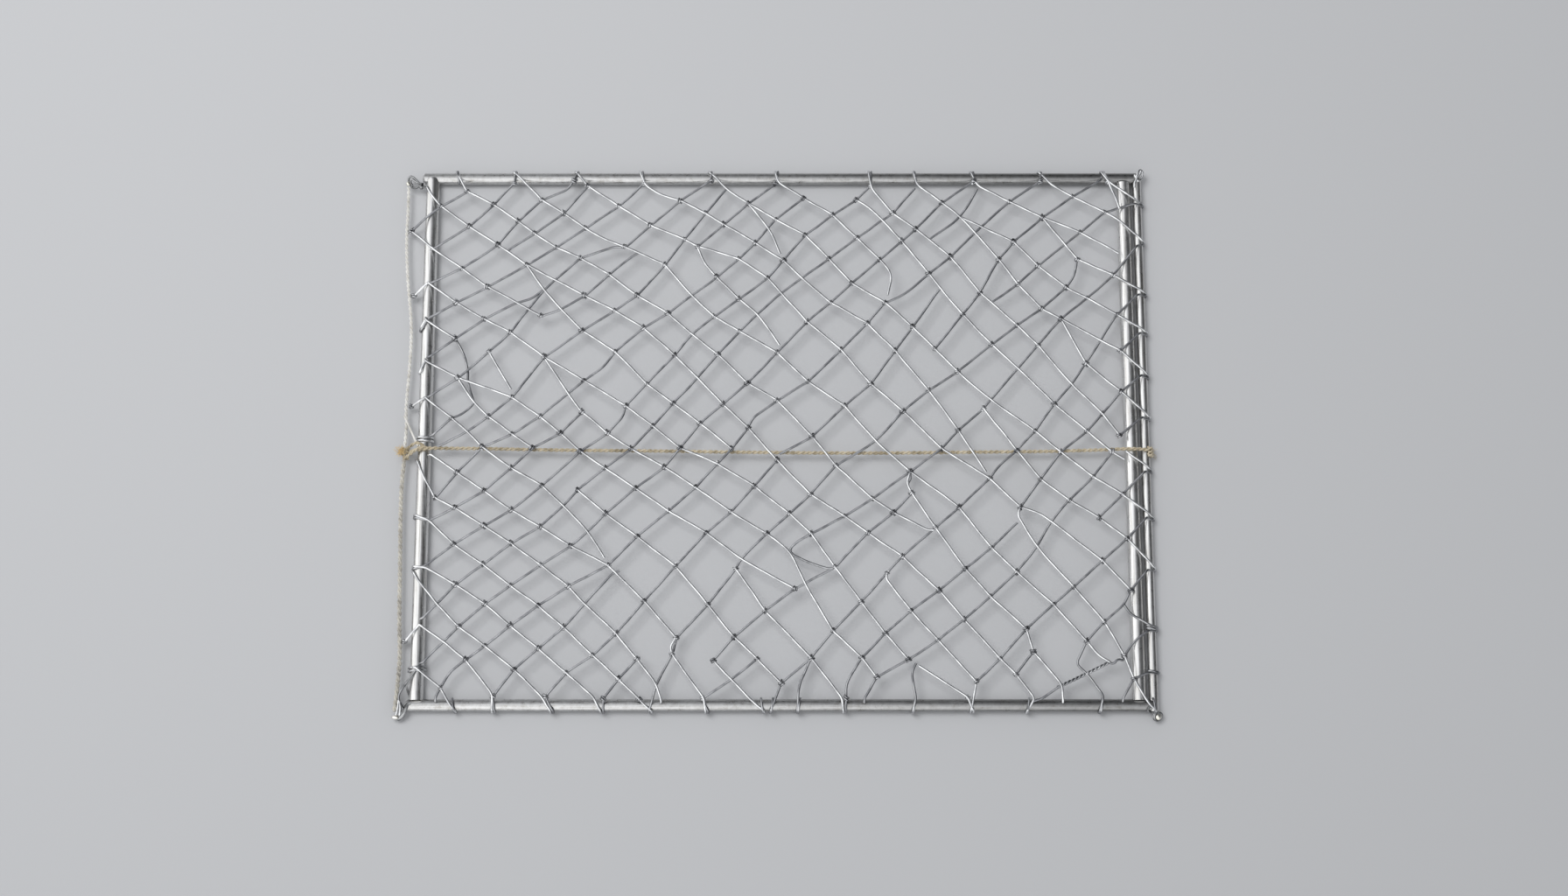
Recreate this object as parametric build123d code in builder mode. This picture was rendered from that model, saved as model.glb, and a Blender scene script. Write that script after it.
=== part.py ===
from build123d import *
from math import copysign, cos, radians, tan
import os

# A wire gauze: a net knotted by hand from soft wire and hung on a frame of five steel rods,
# with a twine across its middle and a string down its left side. It lies flat on its rods.
# Millimetres, +Z up, the origin under the frame's middle. Long side along X, top rail at +Y.

# The frame, between the centres of its outermost rods
FRAME_LENGTH = 197.0
FRAME_WIDTH = 147.0
RAIL_DIAMETER = 3.2  # top and bottom rails
STILE_DIAMETER = 3.7  # left stile and inner right stile
OUTER_ROD_DIAMETER = 2.5  # right-hand rod that the net goes round
STILE_TO_OUTER_ROD = 3.9  # inner right stile to outer rod, centre to centre
RAIL_OVERHANG = 2.9  # rails past the left stile's centre
ROD_END_CHAMFER = 0.7
STILE_DOME = 1.5  # rounding of the left stile's free top end
STILE_TOP_OVERRUN = 0.7  # left stile past the top rail's centre
STILE_INSET = 1.3  # a coped stile's end, short of its rail's centre

# The net
WIRE = 0.85
KNOT_WIDTH = 2.1
KNOT_LENGTH = 2.2
KNOT_RISE = 0.5  # a knot above the wire it is tied round
HOOK_DROP = 3.4  # how far a wire's end turns down outside its rod
LOOP_WIDTH = 2.4  # the wire loops at the frame's corners
CORNER_RING = 2.55  # the ring of wire outside the bottom right corner
CORNER_RING_ASIDE = 0.45  # to the right of the outer rod's centre
CORNER_RING_CLEARANCE = 0.12  # between the ring and the outer rod's end
LOOP_BEAD = 2.2  # the knots of wire that tie the string and the twine to their loops
STILE_WRAP_TURNS = 2
STILE_WRAP_PITCH = 0.95

# The cords
TWINE_DIAMETER = 1.25  # across the middle, and from the knot down the left side
STRING_DIAMETER = 1.15  # from the top left corner to the knot
CORD_LEVEL = 2.6  # height of the cords down the left side
TWINE_KNOT = 3.0
TWINE_KNOT_LENGTH = 3.4
KNOT_CHAMFER = 0.5
TWINE_END_WIDTH = 3.2  # the frayed last turn round the outer rod
TWINE_END_START = 20  # degrees past the rod's top
CORD_SIDES = 8  # a cord's section is an octagon
CORD_BEND = 0.45  # each bend's share of its shorter run

# The cords' routes, from point to point
STRING_ROUTE = [
    (-105.2, 70.65, 2.6), (-105.1, 64.4, 2.6), (-105.4, 55.4, 2.6), (-104.5, 42.6, 2.6), (-102.9, 30.5, 2.6),
    (-103.2, 18.1, 2.6), (-103.9, 7.8, 2.6), (-103.4, 1.6, 2.6), (-103.8, -3.4, 2.6),
]
LEFT_TWINE_ROUTE = [
    (-103.8, -6.9, 2.6), (-104.3, -12.9, 2.6), (-104.3, -23.0, 2.6), (-103.9, -36.2, 2.6), (-103.7, -50.4, 2.6),
    (-102.9, -63.7, 2.6), (-104.1, -75.2, 2.6),
]
CROSS_TWINE_ROUTE = [
    (-102.33, -4.9, 3.28), (-99.9, -4.4, 4.4), (-96.9, -4.0, 4.4), (-91.6, -3.8, 3.02), (-82.0, -3.85, 3.02),
    (-64.0, -4.3, 3.02), (-36.0, -4.5, 3.02), (-4.0, -5.0, 3.02), (26.0, -5.15, 3.02), (54.0, -4.8, 3.02),
    (72.0, -4.65, 3.02), (82.0, -4.35, 3.02), (87.6, -4.2, 3.02), (92.9, -4.15, 4.4), (96.37, -4.2, 4.4),
    (99.09, -4.25, 3.4),
]

# The readings below are places seen in the photograph, in its pixels. These values are the
# frame's corners there, at the net's height: the camera leans a little, so the bottom rail
# is nearer and looks longer than the top one.
PHOTO_TOP = 200.2
PHOTO_BOTTOM = 804.2
PHOTO_TOP_LENGTH = 806.6
PHOTO_BOTTOM_LENGTH = 847.2
PHOTO_MIDDLE = 897.0

# Each wire as the places of its knots and bends, down and to the right. A wire's end outside
# the frame hooks over its rod. Wires that spring from one another share a piece.
FALLING = {
    "falling_wires_01": [
        [(475, 762), (503, 785), (519, 812)],
        [(462, 731), (479, 713), (507, 732), (532, 753), (563, 792), (561, 812)],
        [(472, 652), (493, 680), (499, 689), (524, 715), (554, 737), (587, 764), (620, 796), (628, 812)],
    ],
    "falling_wires_02": [
        [(472, 646), (487, 648), (520, 667), (554, 689), (583, 714), (615, 740), (647, 768), (678, 795),
         (686, 811)],
    ],
    "falling_wires_03": [
        [(474, 587), (491, 594), (518, 621), (552, 644), (583, 668), (615, 691), (644, 716), (677, 748),
         (707, 775), (730, 798)],
    ],
    "falling_wires_04": [
        [(473, 523), (497, 568), (519, 579), (553, 600), (584, 620), (618, 645), (649, 669), (668, 689),
         (704, 723), (728, 752), (750, 781), (755, 798)],
    ],
    "falling_wires_05": [
        [(493, 519), (522, 539), (553, 560), (584, 582), (617, 601), (652, 623), (695, 645), (736, 686),
         (773, 728), (766, 738), (768, 747), (804, 796), (806, 811)],
    ],
    "falling_wires_06": [
        [(660, 559), (692, 586), (728, 612), (772, 646), (809, 690), (839, 727), (865, 752), (893, 780)],
        [(815, 754), (836, 776), (873, 811)],
    ],
    "falling_wires_07": [
        [(470, 462), (486, 453), (516, 477), (534, 492), (551, 510), (584, 534), (619, 554), (644, 577),
         (672, 606), (691, 637)],
        [(476, 372), (485, 364), (520, 386)],
    ],
    "falling_wires_08": [
        [(474, 424), (485, 411), (523, 431), (585, 453), (617, 475), (640, 494), (663, 515), (691, 534),
         (726, 557), (764, 583), (807, 608), (847, 638), (908, 672)],
        [(523, 431), (539, 456), (558, 475), (585, 495), (608, 511)],
        [(559, 401), (584, 444)],
    ],
    "falling_wires_09": [
        [(841, 649), (874, 697), (927, 751), (962, 797), (964, 811)],
    ],
    "falling_wires_10": [
        [(473, 335), (489, 322), (521, 345), (553, 364), (583, 379), (622, 407), (667, 434), (715, 463),
         (746, 486), (777, 511), (820, 529), (862, 555), (902, 586), (927, 609), (954, 647), (984, 687),
         (1012, 723), (1038, 753)],
        [(622, 407), (649, 449), (665, 470), (694, 494), (721, 512), (759, 533), (795, 556), (835, 584),
         (876, 609), (903, 629), (919, 665), (952, 720), (985, 751), (1002, 773)],
    ],
    "falling_wires_11": [
        [(470, 262), (494, 283), (528, 306), (557, 327), (590, 345), (618, 360)],
    ],
    "falling_wires_12": [
        [(484, 210), (504, 235), (536, 258), (569, 279), (602, 302), (635, 320), (668, 337), (702, 354),
         (735, 374), (771, 405), (797, 431), (826, 461), (855, 488), (888, 525), (926, 564), (965, 589),
         (992, 608), (1031, 635), (1073, 674), (1102, 707), (1143, 752), (1161, 770), (1182, 797),
         (1174, 811)],
        [(602, 302), (621, 330), (643, 355), (665, 377), (703, 401), (739, 438), (769, 460), (800, 483),
         (836, 512)],
    ],
    "falling_wires_13": [
        [(521, 197), (534, 218), (564, 233), (592, 252), (611, 266), (635, 282), (663, 294), (696, 313),
         (728, 337), (763, 357), (790, 381), (820, 404), (854, 437), (888, 457), (928, 498), (955, 531),
         (997, 569), (1021, 585), (1060, 605)],
    ],
    "falling_wires_14": [
        [(586, 197), (619, 228), (644, 243), (669, 260), (690, 273), (713, 281), (760, 302), (790, 337),
         (816, 361), (845, 378), (888, 402), (923, 435), (965, 463), (1001, 504), (1040, 538),
         (1096, 579), (1133, 625), (1162, 653), (1204, 690), (1242, 732), (1265, 755)],
        [(1040, 538), (1036, 552), (1042, 563), (1069, 602), (1103, 649), (1132, 681), (1173, 718),
         (1181, 744), (1214, 782), (1215, 798)],
    ],
    "falling_wires_15": [
        [(657, 197), (672, 212), (707, 235), (743, 257), (782, 273), (797, 281), (844, 295), (877, 317),
         (922, 367), (961, 399), (995, 438), (1032, 469), (1076, 512), (1131, 546), (1166, 579),
         (1163, 588), (1185, 625), (1227, 670), (1262, 710), (1285, 749), (1296, 775), (1323, 817)],
        [(797, 281), (805, 301), (819, 316), (844, 341), (866, 358), (891, 394)],
        [(1166, 579), (1186, 585), (1201, 595), (1260, 640), (1290, 671)],
    ],
    "falling_wires_16": [
        [(731, 197), (738, 212), (757, 223), (777, 229), (806, 243), (827, 256), (863, 277), (895, 297),
         (916, 317), (949, 345), (991, 369), (1023, 400), (1061, 445), (1095, 491), (1127, 539)],
    ],
    "falling_wires_17": [
        [(810, 197), (832, 217), (855, 232), (886, 250), (920, 268), (947, 295), (973, 323), (1011, 345),
         (1043, 373), (1068, 398), (1094, 424), (1130, 455), (1183, 492), (1212, 516), (1249, 544),
         (1283, 564), (1316, 589)],
        [(855, 232), (880, 262), (892, 290)],
    ],
    "falling_wires_18": [
        [(886, 197), (889, 208), (918, 226), (951, 245), (979, 271), (1005, 296), (1020, 313), (1014, 337)],
        [(978, 228), (998, 240), (1030, 275), (1061, 312), (1100, 359), (1133, 393), (1163, 420),
         (1205, 461), (1242, 492), (1268, 514)],
    ],
    "falling_wires_19": [
        [(993, 197), (996, 216), (1020, 243), (1046, 261), (1086, 293), (1120, 334), (1162, 371),
         (1186, 394), (1224, 439), (1260, 472), (1279, 495)],
        [(1124, 466), (1162, 514), (1189, 547), (1222, 571), (1256, 591), (1288, 615), (1318, 647)],
    ],
    "falling_wires_20": [
        [(1044, 197), (1048, 211), (1076, 231), (1098, 248), (1114, 265), (1141, 296), (1163, 324),
         (1190, 352), (1212, 364), (1241, 415), (1281, 447), (1312, 474)],
        [(1212, 364), (1280, 400), (1311, 426)],
        [(1098, 248), (1158, 276), (1186, 303), (1218, 328), (1242, 340), (1276, 359), (1308, 377)],
    ],
    "falling_wires_21": [
        [(1110, 197), (1117, 212), (1153, 230), (1191, 248), (1231, 296), (1272, 314), (1307, 332)],
        [(1191, 248), (1234, 265), (1278, 289)],
        [(1187, 197), (1200, 210), (1225, 224), (1262, 242), (1277, 250), (1304, 273)],
        [(1259, 197), (1266, 207), (1295, 226), (1303, 229)],
        [(1266, 207), (1275, 227), (1279, 238)],
        [(1014, 654), (1013, 661), (1041, 697), (1072, 731), (1116, 778), (1110, 811)],
        [(1050, 760), (1106, 796)],
        [(1292, 519), (1314, 534)],
    ],
}

# The same, up and to the right. These lie under the others and take a turn round them.
RISING = {
    "rising_wires_01": [
        [(474, 257), (504, 235), (534, 218)],
        [(494, 284), (536, 258), (564, 233), (588, 208)],
        [(490, 323), (528, 306), (569, 279), (592, 252), (619, 228), (650, 215), (656, 205)],
        [(582, 284), (611, 266), (644, 243), (672, 212)],
    ],
    "rising_wires_02": [
        [(491, 362), (521, 345), (557, 327), (602, 302), (635, 282), (669, 260), (707, 235), (736, 209)],
    ],
    "rising_wires_03": [
        [(490, 407), (520, 386), (553, 364), (590, 345), (608, 340)],
        [(618, 360), (638, 354), (668, 337), (696, 313), (723, 291)],
        [(714, 282), (743, 257), (777, 229), (813, 205)],
    ],
    "rising_wires_04": [
        [(490, 452), (523, 431), (559, 401), (583, 379), (621, 330), (663, 294), (702, 281)],
    ],
    "rising_wires_05": [
        [(508, 505), (534, 492), (558, 475), (585, 453), (622, 407), (665, 377), (702, 354), (728, 337),
         (760, 302), (782, 273), (806, 243), (831, 214)],
        [(494, 496), (516, 477)],
    ],
    "rising_wires_06": [
        [(497, 568), (522, 539), (551, 510), (585, 495), (617, 475), (649, 449), (667, 434), (690, 418),
         (703, 401), (735, 374), (763, 357), (790, 337), (819, 316), (844, 295), (863, 277), (886, 250),
         (918, 226)],
        [(797, 281), (827, 256), (855, 232), (886, 209)],
    ],
    "rising_wires_07": [
        [(490, 594), (519, 579), (553, 560), (584, 534), (608, 511), (640, 494), (665, 470)],
    ],
    "rising_wires_08": [
        [(485, 646), (518, 621), (553, 600), (584, 582), (619, 554), (663, 515), (694, 494), (712, 476),
         (715, 463), (739, 438), (771, 405), (790, 381), (816, 361), (844, 341), (877, 317), (895, 297),
         (920, 268), (951, 245), (978, 228), (995, 212)],
    ],
    "rising_wires_09": [
        [(482, 706), (499, 689), (520, 667), (552, 644), (584, 620), (617, 601), (644, 577), (660, 559),
         (691, 534), (721, 512), (746, 486), (769, 460), (797, 431), (820, 404), (845, 378), (866, 358),
         (891, 335), (916, 317), (947, 295), (979, 271), (1020, 243), (1046, 214)],
    ],
    "rising_wires_10": [
        [(482, 757), (507, 732), (524, 715), (554, 689), (583, 668), (618, 645), (652, 623), (672, 606),
         (692, 586), (726, 557), (759, 533), (777, 511), (800, 483), (826, 461), (854, 437), (888, 402),
         (922, 367), (949, 345), (973, 323), (1005, 296), (1030, 275), (1046, 261), (1076, 231),
         (1113, 206)],
    ],
    "rising_wires_11": [
        [(497, 797), (503, 785), (513, 768), (532, 753), (554, 737), (583, 714), (615, 691), (649, 669),
         (695, 645), (728, 612), (764, 583), (795, 556), (820, 529), (836, 512), (855, 488), (861, 476),
         (888, 457), (923, 435), (961, 399), (991, 369), (1011, 345), (1035, 335), (1061, 312),
         (1086, 293), (1114, 265), (1153, 230), (1189, 206)],
    ],
    "rising_wires_12": [
        [(563, 795), (587, 764), (615, 740), (644, 716), (668, 689), (699, 655)],
        [(689, 798), (707, 775), (728, 752)],
        [(803, 797), (836, 776), (865, 752)],
    ],
    "rising_wires_13": [
        [(623, 795), (647, 768), (677, 748), (704, 723), (736, 686), (772, 646), (807, 608), (835, 584),
         (862, 555), (888, 525)],
    ],
    "rising_wires_14": [
        [(891, 518), (928, 498), (965, 463), (995, 438), (1023, 400), (1043, 373), (1074, 329)],
    ],
    "rising_wires_15": [
        [(741, 811), (750, 781), (768, 747), (773, 728), (809, 690), (841, 649), (847, 638), (876, 609),
         (902, 586), (926, 564), (955, 531), (1001, 504), (1032, 469), (1061, 445), (1094, 424),
         (1133, 393), (1162, 371), (1190, 352), (1218, 328), (1228, 315), (1231, 296)],
    ],
    "rising_wires_16": [
        [(815, 754), (839, 727), (874, 697), (908, 672), (954, 647), (992, 608), (1021, 585),
         (1042, 563)],
    ],
    "rising_wires_17": [
        [(927, 609), (965, 589), (997, 569), (1040, 538), (1076, 512), (1095, 491), (1124, 466),
         (1163, 420), (1186, 394), (1212, 364), (1242, 340), (1272, 314), (1300, 279)],
    ],
    "rising_wires_18": [
        [(880, 811), (893, 780), (927, 751), (952, 720), (984, 687), (1014, 654), (1031, 635),
         (1069, 602), (1096, 579), (1131, 546), (1141, 532), (1162, 514), (1183, 492), (1205, 461),
         (1224, 439), (1241, 415), (1276, 359), (1301, 335)],
        [(911, 812), (913, 782), (927, 751)],
    ],
    "rising_wires_19": [
        [(967, 797), (967, 780), (985, 751), (1012, 723), (1041, 697), (1073, 674), (1103, 649),
         (1133, 625), (1163, 596)],
    ],
    "rising_wires_20": [
        [(988, 798), (1002, 773), (1038, 753), (1072, 731), (1102, 707), (1132, 681), (1162, 653),
         (1185, 625), (1201, 595), (1222, 571), (1249, 544), (1272, 517)],
        [(1043, 811), (1047, 797), (1042, 768), (1047, 757)],
    ],
    "rising_wires_21": [
        [(1116, 778), (1143, 752), (1173, 718), (1204, 690), (1227, 670), (1260, 640), (1288, 615),
         (1311, 590)],
        [(1161, 770), (1181, 744)],
    ],
    "rising_wires_22": [
        [(1258, 811), (1262, 795), (1242, 768), (1230, 758), (1242, 732), (1262, 710), (1285, 690),
         (1292, 674), (1312, 650)],
        [(1285, 690), (1292, 701), (1313, 712)],
        [(1285, 749), (1297, 731), (1313, 719)],
        [(1284, 797), (1296, 775), (1314, 767)],
    ],
    "rising_wires_23": [
        [(1166, 579), (1189, 547), (1212, 516), (1242, 492), (1260, 472), (1281, 447), (1305, 427)],
        [(1256, 591), (1283, 564), (1309, 537)],
        [(1279, 499), (1306, 475)],
        [(1280, 400), (1303, 379)],
    ],
    "rising_wires_24": [
        [(1068, 398), (1100, 359), (1120, 334), (1141, 296), (1158, 276), (1191, 248), (1225, 224),
         (1259, 204)],
        [(1133, 345), (1163, 324), (1186, 303), (1234, 265), (1262, 242), (1297, 231)],
        [(1063, 272), (1098, 248), (1117, 215)],
    ],
}

# Crossings of the two where the wires only lie over each other, with no knot
PLAIN_CROSSINGS = {
    (499, 689), (507, 732), (534, 492), (590, 345), (621, 330), (644, 577), (649, 449), (668, 689),
    (672, 606), (750, 781), (790, 337), (790, 381), (797, 431), (836, 776), (847, 638), (866, 358),
    (916, 317), (1001, 504), (1098, 248), (1114, 265), (1163, 420), (1185, 625), (1201, 595),
    (1224, 439),
}

# Where the knots and wraps are, and the wire that ends in the corner ring, as readings
TWINE_KNOT_PLACE = (461, 516)
TWINE_END_PLACE = (1319, 514)
STILE_WRAP_PLACE = (483, 500)
RINGED_END = (1323, 817)

# The corner loops' ends and beads, in millimetres from where the rods' centre lines meet
TOP_LEFT_LOOP = (-6.5, -0.2)
TOP_LEFT_BEAD = (-6.7, -1.75)
TOP_RIGHT_LOOP_START = (-0.35, -0.45)
TOP_RIGHT_LOOP_END = (1.2, 1.6)
BOTTOM_LEFT_LOOP = (-4.9, -2.75)
BOTTOM_LEFT_BEAD = (-5.55, -2.95)

# Heights: the stiles stand on the ground and the net lies on the stiles
RISING_LEVEL = STILE_DIAMETER
FALLING_LEVEL = RISING_LEVEL + WIRE
RAIL_AXIS = RAIL_DIAMETER / 2

LEFT = -FRAME_LENGTH / 2
RIGHT = FRAME_LENGTH / 2
TOP = FRAME_WIDTH / 2
BOTTOM = -FRAME_WIDTH / 2


def spot(reading):
    """The place of a reading on the net's plane, as shares of the real frame."""
    down = (reading[1] - PHOTO_TOP) / (PHOTO_BOTTOM - PHOTO_TOP)
    growth = PHOTO_BOTTOM_LENGTH / PHOTO_TOP_LENGTH
    nearness = 1 + (growth - 1) * down
    x = FRAME_LENGTH * (reading[0] - PHOTO_MIDDLE) / (PHOTO_TOP_LENGTH * nearness)
    y = FRAME_WIDTH * (0.5 - down * growth / nearness)
    return Vector(x, y)


def hooked(place):
    """A wire's end that lies outside the frame, moved clear of its rod, or None inside it."""
    if abs(place.Y) > TOP:
        reach = TOP + (RAIL_DIAMETER + WIRE) / 2
        return Vector(place.X, copysign(max(abs(place.Y), reach), place.Y))
    if place.X < LEFT:
        return Vector(min(place.X, LEFT - (STILE_DIAMETER + WIRE) / 2), place.Y)
    if place.X > RIGHT:
        return Vector(max(place.X, RIGHT + (OUTER_ROD_DIAMETER + WIRE) / 2), place.Y)
    return None


def placed(reading):
    """Where a reading's wire goes: on the net's plane, clear of the rods at a hooked or ringed end."""
    if reading == RINGED_END:
        drop = RAIL_AXIS + CORNER_RING / 2 + CORNER_RING_CLEARANCE
        return Vector(RIGHT + CORNER_RING_ASIDE, BOTTOM - drop)
    return hooked(spot(reading)) or spot(reading)


def section(place, direction, level, width, height):
    """The corners of an upright section of a wire, on the level and square to the direction."""
    side = Vector(-direction.Y, direction.X) * (width / 2)
    foot = Vector(place.X, place.Y, level)
    rise = Vector(0, 0, height)
    return [foot - side, foot + side, foot + side + rise, foot - side + rise]


def skin(sections):
    """A solid with flat faces from one four-cornered section to the next."""
    faces = [Face(Wire.make_polygon(ends)) for ends in (sections[0], sections[-1])]
    for here, there in zip(sections, sections[1:]):
        for i in range(4):
            faces.append(Face(Wire.make_polygon([here[i - 1], here[i], there[i], there[i - 1]])))
    return Solid(Shell(faces))


def net_wire(readings, level, knots):
    """One wire of the net, with its knots and its hooked ends."""
    places = [placed(reading) for reading in readings]
    runs = [(b - a).normalized() for a, b in zip(places, places[1:])]
    sections = []
    for i, (reading, place) in enumerate(zip(readings, places)):
        before = runs[max(i - 1, 0)]
        after = runs[min(i, len(runs) - 1)]
        along = (before + after).normalized()
        if reading in knots:
            half = along * (KNOT_LENGTH / 2)
            sections.append(section(place - half, along, level, WIRE, WIRE))
            sections.append(section(place, along, level, KNOT_WIDTH, WIRE + KNOT_RISE))
            sections.append(section(place + half, along, level, WIRE, WIRE))
        else:
            mitre = WIRE / cos(radians(before.get_angle(after) / 2))
            sections.append(section(place, along, level, mitre, WIRE))
    with BuildPart() as wire:
        add(skin(sections))
        for end in (0, -1):
            if hooked(spot(readings[end])):
                with BuildSketch(Plane.XY.offset(level + WIRE)):
                    with Locations((places[end].X, places[end].Y)):
                        Rectangle(WIRE, WIRE)
                extrude(amount=-WIRE - HOOK_DROP)
    return wire.part


def wire_loop(near, far, level):
    """A flat loop of wire between two ends, its underside on the level."""
    reach = Vector(far.X - near.X, far.Y - near.Y)
    plane = Plane(((near.X + far.X) / 2, (near.Y + far.Y) / 2, level), x_dir=(reach.X, reach.Y, 0))
    with BuildPart() as loop:
        with BuildSketch(plane):
            SlotCenterToCenter(reach.length, LOOP_WIDTH)
            SlotCenterToCenter(reach.length, LOOP_WIDTH - 2 * WIRE, mode=Mode.SUBTRACT)
        extrude(amount=WIRE)
    return loop.part


def barrel(place, level, diameter, length):
    """A knot as a short barrel lying along Y."""
    with BuildPart() as body:
        with BuildSketch(Plane.XZ.offset(-place.Y - length / 2)):
            with Locations((place.X, level)):
                RegularPolygon(diameter / 2, CORD_SIDES)
        extrude(amount=length)
        chamfer(body.faces().filter_by(Axis.Y).edges(), KNOT_CHAMFER)
    return body.part


def cord_tube(route, diameter):
    """A cord's tube along its route, each bend as wide as its two runs allow."""
    places = [Vector(*point) for point in route]
    bends = []
    for a, b, c in zip(places, places[1:], places[2:]):
        turn = (b - a).get_angle(c - b)
        shorter = min((b - a).length, (c - b).length)
        bends.append(CORD_BEND * shorter / tan(radians(turn / 2)))
    with BuildPart() as tube:
        with BuildLine() as path:
            FilletPolyline(*places, radius=bends)
        with BuildSketch(Plane(places[0], z_dir=places[1] - places[0])):
            RegularPolygon(diameter / 2, CORD_SIDES)
        sweep(path=path.line)
    print("bend radii", [round(b, 1) for b in bends])
    return tube.part


def write(part, name):
    part.label = name
    export_step(part, f"parts/{name}.step")


os.makedirs("parts", exist_ok=True)

# Outer rod: mitred with the top rail, its bottom end flush with the bottom rail's flank
with BuildPart() as outer_rod:
    with BuildSketch(Plane.XZ.offset(-BOTTOM + RAIL_AXIS)):
        with Locations((RIGHT, RAIL_AXIS)):
            Circle(OUTER_ROD_DIAMETER / 2)
    extrude(amount=-(FRAME_WIDTH + 2 * RAIL_DIAMETER))
    split(bisect_by=Plane((RIGHT, TOP, 0), z_dir=(1, -1, 0)), keep=Keep.TOP)

# Bottom rail: coped against the outer rod
with BuildPart() as bottom_rail:
    with BuildSketch(Plane.YZ.offset(LEFT - RAIL_OVERHANG)):
        with Locations((BOTTOM, RAIL_AXIS)):
            Circle(RAIL_DIAMETER / 2)
    extrude(amount=FRAME_LENGTH + RAIL_OVERHANG)
    chamfer(bottom_rail.edges().filter_by(GeomType.CIRCLE).sort_by(Axis.X)[0], ROD_END_CHAMFER)
    add(outer_rod.part, mode=Mode.SUBTRACT)
    split(bisect_by=Plane((RIGHT, BOTTOM, 0), z_dir=(1, 0, 0)), keep=Keep.BOTTOM)

# Left stile: coped against the bottom rail, its domed top in front of the top rail
with BuildPart() as left_stile:
    with BuildSketch(Plane.XZ.offset(-BOTTOM - STILE_INSET)):
        with Locations((LEFT, STILE_DIAMETER / 2)):
            Circle(STILE_DIAMETER / 2)
    extrude(amount=-(FRAME_WIDTH - STILE_INSET + STILE_TOP_OVERRUN))
    fillet(left_stile.edges().filter_by(GeomType.CIRCLE).sort_by(Axis.Y)[-1], STILE_DOME)
    add(bottom_rail.part, mode=Mode.SUBTRACT)

# Top rail: coped round the left stile, mitred with the outer rod
with BuildPart() as top_rail:
    with BuildSketch(Plane.YZ.offset(LEFT - RAIL_OVERHANG)):
        with Locations((TOP, RAIL_AXIS)):
            Circle(RAIL_DIAMETER / 2)
    extrude(amount=FRAME_LENGTH + 2 * RAIL_OVERHANG)
    chamfer(top_rail.edges().filter_by(GeomType.CIRCLE).sort_by(Axis.X)[0], ROD_END_CHAMFER)
    with BuildSketch(Plane.XZ.offset(-BOTTOM)):
        with Locations((LEFT, STILE_DIAMETER / 2)):
            Circle(STILE_DIAMETER / 2)
    extrude(amount=-(FRAME_WIDTH + STILE_TOP_OVERRUN), mode=Mode.SUBTRACT)
    split(bisect_by=Plane((RIGHT, TOP, 0), z_dir=(1, -1, 0)), keep=Keep.BOTTOM)

# Inner stile: coped against both rails
with BuildPart() as inner_stile:
    with BuildSketch(Plane.XZ.offset(-BOTTOM - STILE_INSET)):
        with Locations((RIGHT - STILE_TO_OUTER_ROD, STILE_DIAMETER / 2)):
            Circle(STILE_DIAMETER / 2)
    extrude(amount=-(FRAME_WIDTH - 2 * STILE_INSET))
    add(top_rail.part, mode=Mode.SUBTRACT)
    add(bottom_rail.part, mode=Mode.SUBTRACT)

write(bottom_rail.part, "bottom_rail")
write(left_stile.part, "left_stile")
write(top_rail.part, "top_rail")
write(outer_rod.part, "outer_rod")
write(inner_stile.part, "inner_stile")

# The net: a falling wire has a knot wherever a rising one takes its turn round it
crossings = {reading for wires in RISING.values() for wire in wires for reading in wire}
for name, wires in FALLING.items():
    untied = crossings - PLAIN_CROSSINGS
    with BuildPart() as net_wires:
        for readings in wires:
            add(net_wire(readings, FALLING_LEVEL, untied))
            untied -= set(readings)
    write(net_wires.part, name)
for name, wires in RISING.items():
    with BuildPart() as net_wires:
        for readings in wires:
            add(net_wire(readings, RISING_LEVEL, set()))
    write(net_wires.part, name)

# Turns of wire over the left stile and down its flanks
wrap_place = spot(STILE_WRAP_PLACE)
with BuildPart() as stile_wrap:
    for turn in range(STILE_WRAP_TURNS):
        with BuildSketch(Plane.XZ.offset(-wrap_place.Y - turn * STILE_WRAP_PITCH)):
            with Locations((LEFT, STILE_DIAMETER / 2)):
                Circle(STILE_DIAMETER / 2 + WIRE)
                Circle(STILE_DIAMETER / 2, mode=Mode.SUBTRACT)
            with Locations((LEFT, WIRE)):
                below = (Align.CENTER, Align.MAX)
                Rectangle(2 * STILE_DIAMETER, FRAME_WIDTH, align=below, mode=Mode.SUBTRACT)
        extrude(amount=WIRE)
write(stile_wrap.part, "stile_wrap")

# Corner loops: two at the rails' left ends, one on the top rail's right end, and a ring of
# wire round the end of the wire that leaves the bottom right corner
rail_end = LEFT - RAIL_OVERHANG - LOOP_WIDTH / 2
top_left = Vector(LEFT, TOP)
with BuildPart() as top_left_loop:
    add(wire_loop(Vector(rail_end, TOP), top_left + Vector(*TOP_LEFT_LOOP), RAIL_AXIS - WIRE / 2))
    add(barrel(top_left + Vector(*TOP_LEFT_BEAD), CORD_LEVEL, LOOP_BEAD, LOOP_BEAD))
write(top_left_loop.part, "top_left_loop")

bottom_left = Vector(LEFT, BOTTOM)
with BuildPart() as bottom_left_loop:
    add(wire_loop(Vector(rail_end, BOTTOM), bottom_left + Vector(*BOTTOM_LEFT_LOOP), RAIL_AXIS - WIRE / 2))
    add(barrel(bottom_left + Vector(*BOTTOM_LEFT_BEAD), CORD_LEVEL, LOOP_BEAD, LOOP_BEAD))
write(bottom_left_loop.part, "bottom_left_loop")

top_right = Vector(RIGHT, TOP)
with BuildPart() as top_right_loop:
    start = top_right + Vector(*TOP_RIGHT_LOOP_START)
    end = top_right + Vector(*TOP_RIGHT_LOOP_END)
    add(wire_loop(start, end, RAIL_DIAMETER))
write(top_right_loop.part, "top_right_loop")

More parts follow.
